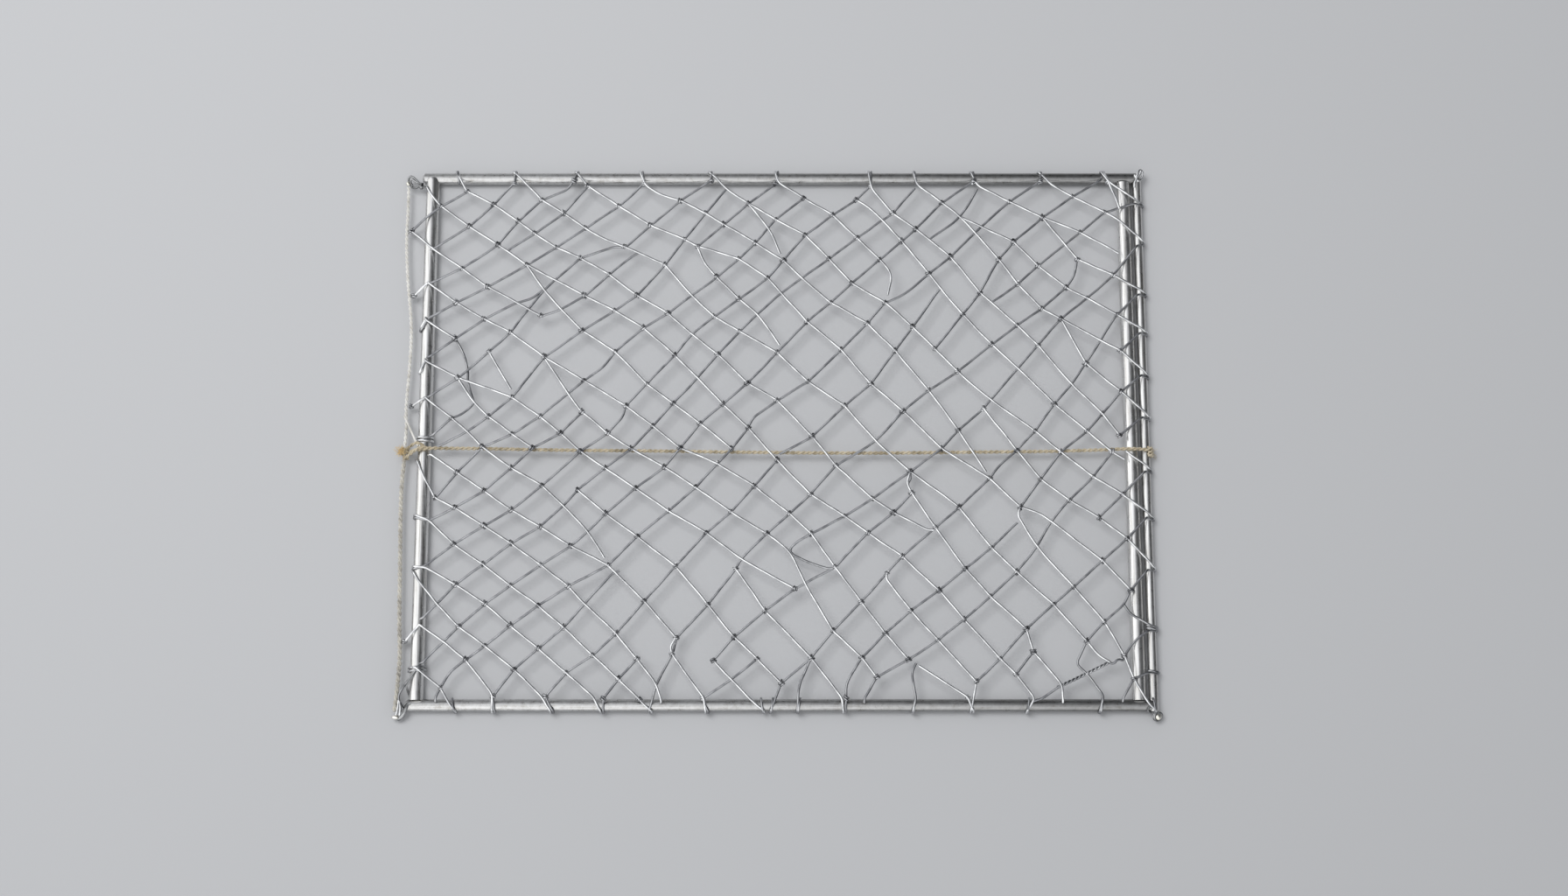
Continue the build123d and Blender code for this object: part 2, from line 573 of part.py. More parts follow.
ring_place = placed(RINGED_END)
with BuildPart() as bottom_right_ring:
    with BuildSketch(Plane.XY.offset(RAIL_AXIS - WIRE)):
        with Locations((ring_place.X, ring_place.Y)):
            Circle(CORNER_RING / 2)
            Rectangle(WIRE, WIRE, mode=Mode.SUBTRACT)
    extrude(amount=2 * WIRE)
write(bottom_right_ring.part, "bottom_right_ring")

# The cords, the knot that joins them, and the twine's last turn round the outer rod
knot_place = spot(TWINE_KNOT_PLACE)
write(barrel(knot_place, CORD_LEVEL, TWINE_KNOT, TWINE_KNOT_LENGTH), "twine_knot")
write(cord_tube(STRING_ROUTE, STRING_DIAMETER), "left_string")
write(cord_tube(LEFT_TWINE_ROUTE, TWINE_DIAMETER), "left_twine")
write(cord_tube(CROSS_TWINE_ROUTE, TWINE_DIAMETER), "cross_twine")

with BuildPart() as twine_end:
    with BuildSketch(Plane.XZ.offset(-spot(TWINE_END_PLACE).Y - TWINE_END_WIDTH / 2)):
        with Locations((RIGHT, RAIL_AXIS)):
            Circle(OUTER_ROD_DIAMETER / 2 + TWINE_DIAMETER)
            Circle(OUTER_ROD_DIAMETER / 2, mode=Mode.SUBTRACT)
        with Locations((RIGHT, 0)):
            Rectangle(FRAME_WIDTH, FRAME_WIDTH, align=(Align.CENTER, Align.MAX), mode=Mode.SUBTRACT)
        with Locations(Location((RIGHT, RAIL_AXIS), -TWINE_END_START)):
            Rectangle(FRAME_WIDTH, FRAME_WIDTH, align=(Align.MAX, Align.CENTER), mode=Mode.SUBTRACT)
    extrude(amount=TWINE_END_WIDTH)
write(twine_end.part, "twine_end")
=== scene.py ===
import math
import random
from functools import partial

import bmesh
import bpy
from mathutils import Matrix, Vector, noise


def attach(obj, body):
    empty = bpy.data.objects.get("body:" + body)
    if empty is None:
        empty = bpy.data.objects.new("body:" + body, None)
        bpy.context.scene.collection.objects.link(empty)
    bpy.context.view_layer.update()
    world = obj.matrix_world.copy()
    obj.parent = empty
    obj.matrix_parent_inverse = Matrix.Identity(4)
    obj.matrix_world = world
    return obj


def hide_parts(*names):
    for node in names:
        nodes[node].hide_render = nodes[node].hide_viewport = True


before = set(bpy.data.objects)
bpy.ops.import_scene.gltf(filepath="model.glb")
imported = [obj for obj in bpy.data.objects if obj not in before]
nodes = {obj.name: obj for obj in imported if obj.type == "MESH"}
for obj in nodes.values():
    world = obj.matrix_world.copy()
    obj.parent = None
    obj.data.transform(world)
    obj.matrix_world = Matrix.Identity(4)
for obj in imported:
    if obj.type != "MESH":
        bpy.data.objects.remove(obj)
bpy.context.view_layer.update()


# The five rods of the frame
# Cold-drawn steel rod, cut from stock and soft-soldered where the rods meet. Drawing leaves it
# bright, with faint lines along it; the two rails carry painted shade, darker towards their right ends.
MM = 0.001
RAIL_DIAMETER = 3.2 * MM
STILE_DIAMETER = 3.7 * MM
OUTER_ROD_DIAMETER = 2.5 * MM
ROD_LIGHT = "#EDEDEC"
ROD_MIDDLE = "#DCDCDB"
ROD_DARK = "#BEBCB8"
MOTTLE_SIZE = 1.6 * MM
RAIL_MOTTLING = 0.6  # share of the mottling in the metal's pattern, beside the drawn lines
STILE_MOTTLING = 0.15
# painted shade: a rail's colour is scaled from its left share down to its right share, darker towards the
# right
RAIL_LEFT_SHARE = 0.8  # of a stile's brightness that a rail has at its left end
RAIL_RIGHT_SHARE = 0.36
PAINTED_SHADE_START = -60 * MM  # where along a rail its brightness starts to fall, and where it has fallen
PAINTED_SHADE_END = 80 * MM
DRAW_LINE_SPACING = 0.3 * MM
DRAW_LINE_LENGTH = 12 * MM
DRAW_LINE_DEPTH = 0.04 * MM
SHARP_EDGE = math.radians(35)


def linear(code):
    """Turns an sRGB hex colour into linear red, green, blue and alpha."""
    parts = [int(code[i:i + 2], 16) / 255 for i in (1, 3, 5)]
    return [c / 12.92 if c <= 0.04045 else ((c + 0.055) / 1.055) ** 2.4 for c in parts] + [1.0]


def add_node(tree, kind, inputs=(), **settings):
    """Adds a node with its settings; an input takes a value, a socket or a node's first output."""
    node = tree.nodes.new(kind)
    for name, value in settings.items():
        setattr(node, name, value)
    for name, value in dict(inputs).items():
        if isinstance(value, bpy.types.Node):
            value = value.outputs[0]
        if isinstance(value, bpy.types.NodeSocket):
            tree.links.new(value, node.inputs[name])
        else:
            node.inputs[name].default_value = value
    return node


def new_material(name):
    """Starts an empty node material; gives it and the function that adds its nodes."""
    material = bpy.data.materials.new(name)
    material.use_nodes = True
    material.node_tree.nodes.clear()
    return material, partial(add_node, material.node_tree)


def ramp(add, factor, *stops):
    """A colour ramp between hex colours at their places."""
    node = add("ShaderNodeValToRGB", {"Fac": factor})
    while len(node.color_ramp.elements) < len(stops):
        node.color_ramp.elements.new(0.5)
    for element, (place, code) in zip(node.color_ramp.elements, stops):
        element.position = place
        element.color = linear(code)
    return node


def remap(add, value, start, end, low, high):
    """Carries a value from one range to another."""
    return add("ShaderNodeMapRange",
               {"Value": value, "From Min": start, "From Max": end, "To Min": low, "To Max": high})


def coat(add, inputs):
    """Ends a material with its surface."""
    surface = add("ShaderNodeBsdfPrincipled", inputs)
    add("ShaderNodeOutputMaterial", {"Surface": surface})


def maths(add, operation, *values):
    """An operation on numbers."""
    return add("ShaderNodeMath", dict(enumerate(values)), operation=operation)


def vectors(add, operation, *values):
    """An operation on vectors."""
    return add("ShaderNodeVectorMath", dict(enumerate(values)), operation=operation)


def scaled(add, vector, factor):
    """A vector times a number."""
    return add("ShaderNodeVectorMath", {0: vector, "Scale": factor}, operation="SCALE")


def drawn_steel(name, along, mottling, left_share, right_share):
    """Bright drawn steel: fine lines along the rod, mottling, a soft gloss, and painted shade darker to the
    right.
    """
    material, add = new_material(name)
    place = add("ShaderNodeTexCoord").outputs["Object"]
    stretch = [1 / DRAW_LINE_SPACING] * 3
    stretch[along] = 1 / DRAW_LINE_LENGTH
    stretched = add("ShaderNodeMapping", {"Vector": place, "Scale": stretch})
    lines = add("ShaderNodeTexNoise", {"Vector": stretched, "Scale": 1.0, "Detail": 3.0})
    mottle = add("ShaderNodeTexNoise",
                 {"Vector": place, "Scale": 1 / MOTTLE_SIZE, "Detail": 5.0, "Roughness": 0.7})
    both = add("ShaderNodeMix", {0: mottling, 2: lines, 3: mottle})
    colour = ramp(add, both, (0.36, ROD_DARK), (0.5, ROD_MIDDLE), (0.62, ROD_LIGHT))
    aside = add("ShaderNodeSeparateXYZ", {"Vector": place}).outputs["X"]
    # painted shade: the colour is scaled darker along x, towards the right end of a rail
    brightness = remap(add, aside, PAINTED_SHADE_START, PAINTED_SHADE_END, left_share, right_share)
    bump = add("ShaderNodeBump",
               {"Height": both, "Strength": 0.1 + 0.5 * mottling, "Distance": DRAW_LINE_DEPTH})
    coat(add, {"Base Color": scaled(add, colour, brightness), "Metallic": 1.0, "Normal": bump,
               "Roughness": remap(add, mottle, 0.35, 0.65, 0.26, 0.36)})
    return material


def set_piece(piece, slot, *stands_for):
    """Gives a piece the body it rides on and the solids that it stands for; the slot is not used."""
    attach(piece, "root")
    if stands_for:
        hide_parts(*stands_for)
    return piece


def smooth_bar(node_name, material):
    """A rod's own solid again, with its round flank shaded smoothly and its ends left sharp."""
    rod = nodes[node_name].copy()
    rod.data = nodes[node_name].data.copy()
    rod.name = node_name + "_bar"
    bpy.context.scene.collection.objects.link(rod)
    shape = bmesh.new()
    shape.from_mesh(rod.data)
    bmesh.ops.remove_doubles(shape, verts=shape.verts, dist=0.002 * MM)
    for edge in shape.edges:
        edge.smooth = len(edge.link_faces) == 2 and edge.calc_face_angle(0) < SHARP_EDGE
    for face in shape.faces:
        face.smooth = True
    shape.to_mesh(rod.data)
    shape.free()
    rod.data.materials.clear()
    rod.data.materials.append(material)
    set_piece(rod, "rod_steel", node_name)


# The rails take painted shade towards their right ends; the stiles take none.
rail_steel = drawn_steel("drawn_steel_rail", 0, RAIL_MOTTLING, RAIL_LEFT_SHARE, RAIL_RIGHT_SHARE)
stile_steel = drawn_steel("drawn_steel_stile", 1, STILE_MOTTLING, 1.0, 1.0)
for rod_name in ("bottom_rail", "top_rail"):
    smooth_bar(rod_name, rail_steel)
for rod_name in ("left_stile", "inner_stile", "outer_rod"):
    smooth_bar(rod_name, stile_steel)


# The net
# Soft steel wire, cut to length and pulled by hand from rod to rod in two directions. The
# upper set is bright; the lower set is the same wire with painted shade, a darker copy. Each end is bent
# over its rod, often with the end of a wire of the other set, and on the left the ends go on to the string
# and the twine.
FRAME_LENGTH = 197 * MM
FRAME_WIDTH = 147 * MM
LEFT = -FRAME_LENGTH / 2
RIGHT = FRAME_LENGTH / 2
TOP = FRAME_WIDTH / 2
WIRE = 0.85 * MM  # from one set's middle to the other's, with the play between them
BARE_WIRE = 0.66 * MM  # the wire itself
RISING_HEIGHT = STILE_DIAMETER + WIRE / 2
FALLING_HEIGHT = RISING_HEIGHT + WIRE
BRIGHT_LIGHT = "#EDEEEF"
BRIGHT_DARK = "#C2C3C5"
# painted shade: the lower set and the loose wires take this darker copy of the bright wire
SHADED_WIRE_LIGHT = "#B0B1B3"
SHADED_WIRE_DARK = "#87888B"
PATCH_SIZE = 3 * MM
KNOT_HALF = 0.9 * MM
BEND_SHARE = 0.45
BEND_STEPS = 5
NEAR_ROD = 3.3 * MM
PAIR_REACH = 4.8 * MM
PAIR_GAP = 3  # between two readings, along the rod
CORD_HEIGHT = 2.6 * MM  # of the string and the twine at the left
CORD_REACH = 1.5 * WIRE  # how far past the left stile an end lies that goes on to them
TIE_INSET = 0.3 * MM
CREST_UP = 0.55  # of the wire's thickness, as the next one
TUCK_UP = 0.8
SHOULDER_OUT = 0.78  # of the distance of a bent wire's middle from its rod's, as the next three
SHOULDER_UP = 0.75
CORD_SHOULDER_OUT = 0.8
TUCK_OUT = 0.85
WAVE = 0.1 * MM
WAVE_LENGTH = 7 * MM
RING_SPACING = 0.7 * MM

# Where the frame's corners lie in the photograph, at the net's height
PHOTO_TOP = 200.2
PHOTO_BOTTOM = 804.2
PHOTO_TOP_LENGTH = 806.6
PHOTO_BOTTOM_LENGTH = 847.2
PHOTO_MIDDLE = 897.0

# Each wire as the places of its knots and bends in the photograph
FALLING = [
    [(475, 762), (503, 785), (519, 812)],
    [(462, 731), (479, 713), (507, 732), (532, 753), (563, 792), (561, 812)],
    [(472, 652), (493, 680), (499, 689), (524, 715), (554, 737), (587, 764), (620, 796), (628, 812)],
    [(472, 646), (487, 648), (520, 667), (554, 689), (583, 714), (615, 740), (647, 768), (678, 795),
     (686, 811)],
    [(474, 587), (491, 594), (518, 621), (552, 644), (583, 668), (615, 691), (644, 716), (677, 748),
     (707, 775), (730, 798)],
    [(473, 523), (497, 568), (519, 579), (553, 600), (584, 620), (618, 645), (649, 669), (668, 689),
     (704, 723), (728, 752), (750, 781), (755, 798)],
    [(493, 519), (522, 539), (553, 560), (584, 582), (617, 601), (652, 623), (695, 645), (736, 686),
     (773, 728), (766, 738), (768, 747), (804, 796), (806, 811)],
    [(660, 559), (692, 586), (728, 612), (772, 646), (809, 690), (839, 727), (865, 752), (893, 780)],
    [(815, 754), (836, 776), (873, 811)],
    [(470, 462), (486, 453), (516, 477), (534, 492), (551, 510), (584, 534), (619, 554), (644, 577),
     (672, 606), (691, 637)],
    [(476, 372), (485, 364), (520, 386)],
    [(474, 424), (485, 411), (523, 431), (585, 453), (617, 475), (640, 494), (663, 515), (691, 534),
     (726, 557), (764, 583), (807, 608), (847, 638), (908, 672)],
    [(523, 431), (539, 456), (558, 475), (585, 495), (608, 511)],
    [(559, 401), (584, 444)],
    [(841, 649), (874, 697), (927, 751), (962, 797), (964, 811)],
    [(473, 335), (489, 322), (521, 345), (553, 364), (583, 379), (622, 407), (667, 434), (715, 463),
     (746, 486), (777, 511), (820, 529), (862, 555), (902, 586), (927, 609), (954, 647), (984, 687),
     (1012, 723), (1038, 753)],
    [(622, 407), (649, 449), (665, 470), (694, 494), (721, 512), (759, 533), (795, 556), (835, 584),
     (876, 609), (903, 629), (919, 665), (952, 720), (985, 751), (1002, 773)],
    [(470, 262), (494, 283), (528, 306), (557, 327), (590, 345), (618, 360)],
    [(484, 210), (504, 235), (536, 258), (569, 279), (602, 302), (635, 320), (668, 337), (702, 354),
     (735, 374), (771, 405), (797, 431), (826, 461), (855, 488), (888, 525), (926, 564), (965, 589),
     (992, 608), (1031, 635), (1073, 674), (1102, 707), (1143, 752), (1161, 770), (1182, 797), (1174, 811)],
    [(602, 302), (621, 330), (643, 355), (665, 377), (703, 401), (739, 438), (769, 460), (800, 483),
     (836, 512)],
    [(521, 197), (534, 218), (564, 233), (592, 252), (611, 266), (635, 282), (663, 294), (696, 313),
     (728, 337), (763, 357), (790, 381), (820, 404), (854, 437), (888, 457), (928, 498), (955, 531),
     (997, 569), (1021, 585), (1060, 605), (1067, 605)],
    [(586, 197), (619, 228), (644, 243), (669, 260), (690, 273), (713, 281), (760, 302), (790, 337),
     (816, 361), (845, 378), (888, 402), (923, 435), (965, 463), (1001, 504), (1040, 538), (1096, 579),
     (1133, 625), (1162, 653), (1204, 690), (1242, 732), (1255, 748), (1268, 756)],
    [(1040, 538), (1036, 552), (1042, 563), (1069, 602), (1103, 649), (1132, 681), (1173, 718),
     (1181, 744), (1214, 782), (1215, 798)],
    [(657, 197), (672, 212), (707, 235), (743, 257), (782, 273), (797, 281), (844, 295), (877, 317),
     (922, 367), (961, 399), (995, 438), (1032, 469), (1076, 512), (1131, 546), (1166, 579), (1163, 588),
     (1185, 625), (1227, 670), (1262, 710), (1285, 749), (1296, 775), (1323, 817)],
    [(797, 281), (805, 301), (819, 316), (844, 341), (866, 358), (891, 394)],
    [(1166, 579), (1186, 585), (1201, 595), (1260, 640), (1290, 671), (1292, 674)],
    [(731, 197), (738, 212), (757, 223), (777, 229), (806, 243), (827, 256), (863, 277), (895, 297),
     (916, 317), (949, 345), (991, 369), (1023, 400), (1061, 445), (1095, 491), (1127, 539)],
    [(810, 197), (832, 217), (855, 232), (886, 250), (920, 268), (947, 295), (973, 323), (1011, 345),
     (1043, 373), (1068, 398), (1094, 424), (1130, 455), (1183, 492), (1212, 516), (1249, 544),
     (1283, 564), (1316, 589)],
    [(855, 232), (880, 262), (892, 290)],
    [(886, 197), (889, 208), (918, 226), (951, 245), (979, 271), (1005, 296), (1020, 313), (1014, 337)],
    [(978, 228), (998, 240), (1030, 275), (1061, 312), (1100, 359), (1133, 393), (1163, 420), (1205, 461),
     (1242, 492), (1268, 514), (1285, 524)],
    [(993, 197), (996, 216), (1020, 243), (1046, 261), (1086, 293), (1120, 334), (1162, 371), (1186, 394),
     (1224, 439), (1260, 472), (1279, 497)],
    [(1124, 466), (1162, 514), (1189, 547), (1222, 571), (1256, 591), (1288, 615), (1318, 647)],
    [(1044, 197), (1048, 211), (1076, 231), (1098, 248), (1114, 265), (1141, 296), (1163, 324),
     (1190, 352), (1212, 364), (1241, 415), (1281, 447), (1312, 474)],
    [(1212, 364), (1280, 400), (1311, 426)],
    [(1098, 248), (1158, 276), (1186, 303), (1218, 328), (1242, 340), (1276, 359), (1308, 377)],
    [(1110, 197), (1117, 212), (1153, 230), (1191, 248), (1231, 296), (1272, 314), (1307, 332)],
    [(1191, 248), (1234, 265), (1278, 289)],
    [(1187, 197), (1200, 210), (1225, 224), (1262, 242), (1277, 250), (1304, 273)],
    [(1259, 197), (1266, 207), (1295, 226), (1303, 229)],
    [(1266, 207), (1275, 227), (1279, 238)],
    [(1014, 654), (1013, 661), (1041, 697), (1072, 731), (1116, 778), (1110, 811)],
    [(1050, 760), (1106, 796)],
    [(1287, 515), (1292, 519), (1314, 534)],
]
RISING = [
    [(471, 260), (504, 235), (534, 218)],
    [(494, 284), (536, 258), (564, 233), (588, 208)],
    [(490, 323), (528, 306), (569, 279), (592, 252), (619, 228), (650, 215), (656, 205)],
    [(580, 287), (582, 284), (611, 266), (644, 243), (672, 212)],
    [(491, 362), (521, 345), (557, 327), (602, 302), (635, 282), (669, 260), (707, 235), (736, 209)],
    [(490, 407), (520, 386), (553, 364), (590, 345), (608, 340), (621, 330)],
    [(618, 360), (638, 354), (668, 337), (696, 313), (723, 291), (729, 288)],
    [(714, 282), (743, 257), (777, 229), (813, 205)],
    [(490, 452), (523, 431), (559, 401), (583, 379), (621, 330), (663, 294), (702, 281), (713, 281)],
    [(500, 509), (508, 505), (534, 492), (558, 475), (585, 453), (622, 407), (665, 377), (702, 354),
     (728, 337), (760, 302), (782, 273), (806, 243), (831, 214)],
    [(494, 496), (516, 477)],
    [(497, 568), (522, 539), (551, 510), (585, 495), (617, 475), (649, 449), (667, 434), (690, 418),
     (703, 401), (735, 374), (763, 357), (790, 337), (819, 316), (844, 295), (863, 277), (886, 250),
     (918, 226)],
    [(797, 281), (827, 256), (855, 232), (886, 209)],
    [(490, 594), (519, 579), (553, 560), (584, 534), (608, 511), (640, 494), (665, 470)],
    [(485, 646), (518, 621), (553, 600), (584, 582), (619, 554), (663, 515), (694, 494), (712, 476),
     (715, 463), (739, 438), (771, 405), (790, 381), (816, 361), (844, 341), (877, 317), (895, 297),
     (920, 268), (951, 245), (978, 228), (995, 212)],
    [(482, 706), (499, 689), (520, 667), (552, 644), (584, 620), (617, 601), (644, 577), (660, 559),
     (691, 534), (721, 512), (746, 486), (769, 460), (797, 431), (820, 404), (845, 378), (866, 358),
     (891, 335), (916, 317), (947, 295), (979, 271), (1020, 243), (1046, 214)],
    [(482, 757), (507, 732), (524, 715), (554, 689), (583, 668), (618, 645), (652, 623), (672, 606),
     (692, 586), (726, 557), (759, 533), (777, 511), (800, 483), (826, 461), (854, 437), (888, 402),
     (922, 367), (949, 345), (973, 323), (1005, 296), (1030, 275), (1046, 261), (1076, 231), (1113, 206)],
    [(497, 797), (503, 785), (513, 768), (532, 753), (554, 737), (583, 714), (615, 691), (649, 669),
     (695, 645), (728, 612), (764, 583), (795, 556), (820, 529), (836, 512), (855, 488), (861, 476),
     (888, 457), (923, 435), (961, 399), (991, 369), (1011, 345), (1035, 335), (1061, 312), (1086, 293),
     (1114, 265), (1153, 230), (1189, 206)],
    [(563, 795), (587, 764), (615, 740), (644, 716), (668, 689), (699, 655), (708, 651)],
    [(689, 798), (707, 775), (728, 752)],
    [(803, 797), (836, 776), (865, 752)],
    [(623, 795), (647, 768), (677, 748), (704, 723), (736, 686), (772, 646), (807, 608), (835, 584),
     (862, 555), (888, 525)],
    [(891, 518), (928, 498), (965, 463), (995, 438), (1023, 400), (1043, 373), (1074, 329)],
    [(741, 811), (750, 781), (768, 747), (773, 728), (809, 690), (841, 649), (847, 638), (876, 609),
     (902, 586), (926, 564), (955, 531), (1001, 504), (1032, 469), (1061, 445), (1094, 424), (1133, 393),
     (1162, 371), (1190, 352), (1218, 328), (1228, 315), (1231, 296)],
    [(815, 754), (839, 727), (874, 697), (908, 672), (954, 647), (992, 608), (1021, 585), (1042, 563)],
    [(927, 609), (965, 589), (997, 569), (1040, 538), (1076, 512), (1095, 491), (1124, 466), (1163, 420),
     (1186, 394), (1212, 364), (1242, 340), (1272, 314), (1300, 279)],
    [(880, 811), (893, 780), (927, 751), (952, 720), (984, 687), (1014, 654), (1031, 635), (1069, 602),
     (1096, 579), (1131, 546), (1141, 532), (1162, 514), (1183, 492), (1205, 461), (1224, 439),
     (1241, 415), (1276, 359), (1301, 335)],
    [(911, 812), (913, 782), (927, 751)],
    [(967, 797), (967, 780), (985, 751), (1012, 723), (1041, 697), (1073, 674), (1103, 649), (1133, 625),
     (1163, 596)],
    [(988, 798), (1002, 773), (1038, 753), (1072, 731), (1102, 707), (1132, 681), (1162, 653),
     (1185, 625), (1201, 595), (1222, 571), (1249, 544), (1271, 516)],
    [(1043, 811), (1047, 797), (1042, 768), (1047, 757)],
    [(1116, 778), (1143, 752), (1173, 718), (1204, 690), (1227, 670), (1260, 640), (1288, 615),
     (1311, 590)],
    [(1161, 770), (1181, 744)],
    [(1258, 811), (1262, 795), (1242, 768), (1230, 758), (1242, 732), (1262, 710), (1285, 690),
     (1292, 674), (1312, 650)],
    [(1285, 690), (1292, 701), (1313, 712), (1320, 716)],
    [(1285, 749), (1297, 731), (1313, 719), (1320, 719)],
    [(1284, 797), (1296, 775), (1314, 767), (1322, 768)],
    [(1166, 579), (1189, 547), (1212, 516), (1242, 492), (1260, 472), (1281, 447), (1305, 427)],
    [(1256, 591), (1283, 564), (1309, 537)],
    [(1279, 497), (1306, 475)],
    [(1280, 400), (1303, 379)],
    [(1068, 398), (1100, 359), (1120, 334), (1141, 296), (1158, 276), (1191, 248), (1225, 224),
     (1259, 204)],
    [(1133, 345), (1163, 324), (1186, 303), (1234, 265), (1262, 242), (1297, 231)],
    [(1063, 272), (1098, 248), (1117, 215)],
]

# Crossings where the wires only lie over each other
PLAIN_CROSSINGS = {
    (499, 689), (507, 732), (534, 492), (590, 345), (621, 330), (644, 577), (649, 449), (668, 689),
    (672, 606), (750, 781), (790, 337), (790, 381), (797, 431), (836, 776), (847, 638), (866, 358),
    (916, 317), (1001, 504), (1098, 248), (1114, 265), (1163, 420), (1185, 625), (1201, 595),
    (1224, 439),
}


def bright_wire(name, light, dark):
    """Drawn wire: a glossy line along it, with duller patches where it was gripped and bent."""
    material, add = new_material(name)
    place = add("ShaderNodeTexCoord").outputs["Object"]
    patches = add("ShaderNodeTexNoise", {"Vector": place, "Scale": 1 / PATCH_SIZE, "Detail": 4.0})
    coat(add, {"Base Color": ramp(add, patches, (0.38, dark), (0.58, light)), "Metallic": 1.0,
               "Roughness": remap(add, patches, 0.3, 0.7, 0.38, 0.26)})
    return material


def spot(reading, height=0.0):
    """The place of a reading on the net's plane, at a height."""
    down = (reading[1] - PHOTO_TOP) / (PHOTO_BOTTOM - PHOTO_TOP)
    growth = PHOTO_BOTTOM_LENGTH / PHOTO_TOP_LENGTH
    nearness = 1 + (growth - 1) * down
    x = FRAME_LENGTH * (reading[0] - PHOTO_MIDDLE) / (PHOTO_TOP_LENGTH * nearness)
    y = FRAME_WIDTH * (0.5 - down * growth / nearness)
    return Vector((x, y, height))


def rod_at(place, reach):
    """The rod that an end lies outside of, or within reach of: the way out, and its diameter."""
    if abs(place.y) > TOP - reach:
        return Vector((0, math.copysign(1, place.y), 0)), RAIL_DIAMETER
    if place.x < LEFT + reach:
        return Vector((-1, 0, 0)), STILE_DIAMETER
    if place.x > RIGHT - reach:
        return Vector((1, 0, 0)), OUTER_ROD_DIAMETER
    return None, 0.0


def reaches_cord(end):
    """Whether a wire goes on past the left stile to the string or the twine."""
    return end.x < LEFT - STILE_DIAMETER / 2 - CORD_REACH and abs(end.y) < TOP


def edge_of(out):
    """How far the rod's centre lies from the middle of the frame on its side."""
    return RIGHT if out.x else TOP


def bent_over(inner, end):
    """The rest of a wire from its last place in the net: over the rod, down its far side, under."""
    out, diameter = rod_at(end, 0)
    radius = diameter / 2
    clear = radius + WIRE / 2
    end = end.copy()
    past = max(abs(end.dot(out)), edge_of(out) + clear) - edge_of(out)
    end += out * (edge_of(out) + past - abs(end.dot(out)))
    run = end - inner
    crest = inner + run * (1 - past / run.dot(out))
    crest.z = diameter + WIRE * CREST_UP
    if reaches_cord(end):
        end.z = CORD_HEIGHT + WIRE / 2
        run = end - inner
        shoulder = inner + run * (1 - (past - CORD_SHOULDER_OUT * clear) / run.dot(out))
        shoulder.z = crest.z - 0.1 * MM
        return [crest, shoulder, end, end - Vector((0.5 * MM, 0, WIRE))]
    shoulder = end - out * (past - SHOULDER_OUT * clear)
    shoulder.z = radius + SHOULDER_UP * clear
    flank = end - out * (past - clear)
    flank.z = radius
    tuck = end - out * (past - TUCK_OUT * clear)
    tuck.z = WIRE * TUCK_UP
    return [crest, shoulder, flank, tuck]


def eased(points, sharp=()):
    """Rounds each bend of a wire: short at a knot, and as wide as its runs allow elsewhere."""
    line = [points[0]]
    for i in range(1, len(points) - 1):
        before = points[i - 1] - points[i]
        after = points[i + 1] - points[i]
        room = BEND_SHARE * min(before.length, after.length)
        if i in sharp:
            room = min(room, KNOT_HALF)
        start = points[i] + before.normalized() * room
        end = points[i] + after.normalized() * room
        for step in range(BEND_STEPS + 1):
            t = step / BEND_STEPS
            line.append(start * (1 - t) ** 2 + points[i] * 2 * t * (1 - t) + end * t ** 2)
    line.append(points[-1])
    return line


def net_line(readings, height, tied):
    """A wire's middle line, and the places where it is tied to the string or the twine."""
    points = [spot(reading, height) for reading in readings]
    sharp = {i for i, reading in enumerate(readings) if reading in tied}
    ties = []
    for _ in range(2):
        last = points[-1]
        out = rod_at(last, NEAR_ROD)[0]
        if rod_at(last, 0)[0] is not None:
            if reaches_cord(last):
                ties.append((Vector((last.x - TIE_INSET, last.y, CORD_HEIGHT)), Vector((0, 1, 0))))
            points = points[:-1] + bent_over(points[-2], last)
        elif out is not None:
            points.append(last + out * WIRE - Vector((0, 0, WIRE)))
        points.reverse()
        sharp = {len(points) - 1 - i for i in sharp}
    return eased(points, sharp), ties


def pair_ends(wires):
    """Carries each wire that stops at a rod on over it, beside the nearest bent end.

    Gives the ends that stay alone, and the places where two are twisted together.
    """
    bent = {wire[end]: wire[1 if end == 0 else -2] for wire in wires for end in (0, -1)
            if rod_at(spot(wire[end]), 0)[0] is not None}
    twisted = []
    for wire in wires:
        for end in (0, -1):
            place = spot(wire[end])
            out = rod_at(place, NEAR_ROD)[0]
            if out is None or rod_at(place, 0)[0] is not None:
                continue
            near = sorted(((spot(reading) - place).length, reading) for reading in bent
                          if reading not in wire and rod_at(spot(reading), 0)[0] == out)
            if near and near[0][0] <= PAIR_REACH:
                x, y = near[0][1]
                bent.pop((x, y))
                if out.y:
                    twisted.append((spot(wire[end], RISING_HEIGHT), place - spot((x, y))))
                wire.insert(0 if end == 0 else len(wire),
                            (x, y + PAIR_GAP) if out.x else (x + PAIR_GAP, y))
    return bent, twisted


def new_object(name, data):
    """Adds an object to the scene."""
    thing = bpy.data.objects.new(name, data)
    bpy.context.scene.collection.objects.link(thing)
    return thing


def line_object(name, paths):
    """An object of bare edges along the paths."""
    verts = []
    edges = []
    for path in paths:
        edges += [(len(verts) + i, len(verts) + i + 1) for i in range(len(path) - 1)]
        verts += path
    mesh = bpy.data.meshes.new(name)
    mesh.from_pydata(verts, edges, [])
    return new_object(name, mesh)


def new_tree(name, sockets):
    """Starts a geometry tree; gives it, the function that adds its nodes, and its inputs."""
    tree = bpy.data.node_groups.new(name, "GeometryNodeTree")
    for socket, kind in {"Geometry": "Geometry", **sockets}.items():
        tree.interface.new_socket(socket, in_out="INPUT", socket_type="NodeSocket" + kind)
    tree.interface.new_socket("Geometry", in_out="OUTPUT", socket_type="NodeSocketGeometry")
    add = partial(add_node, tree)
    return tree, add, add("NodeGroupInput").outputs


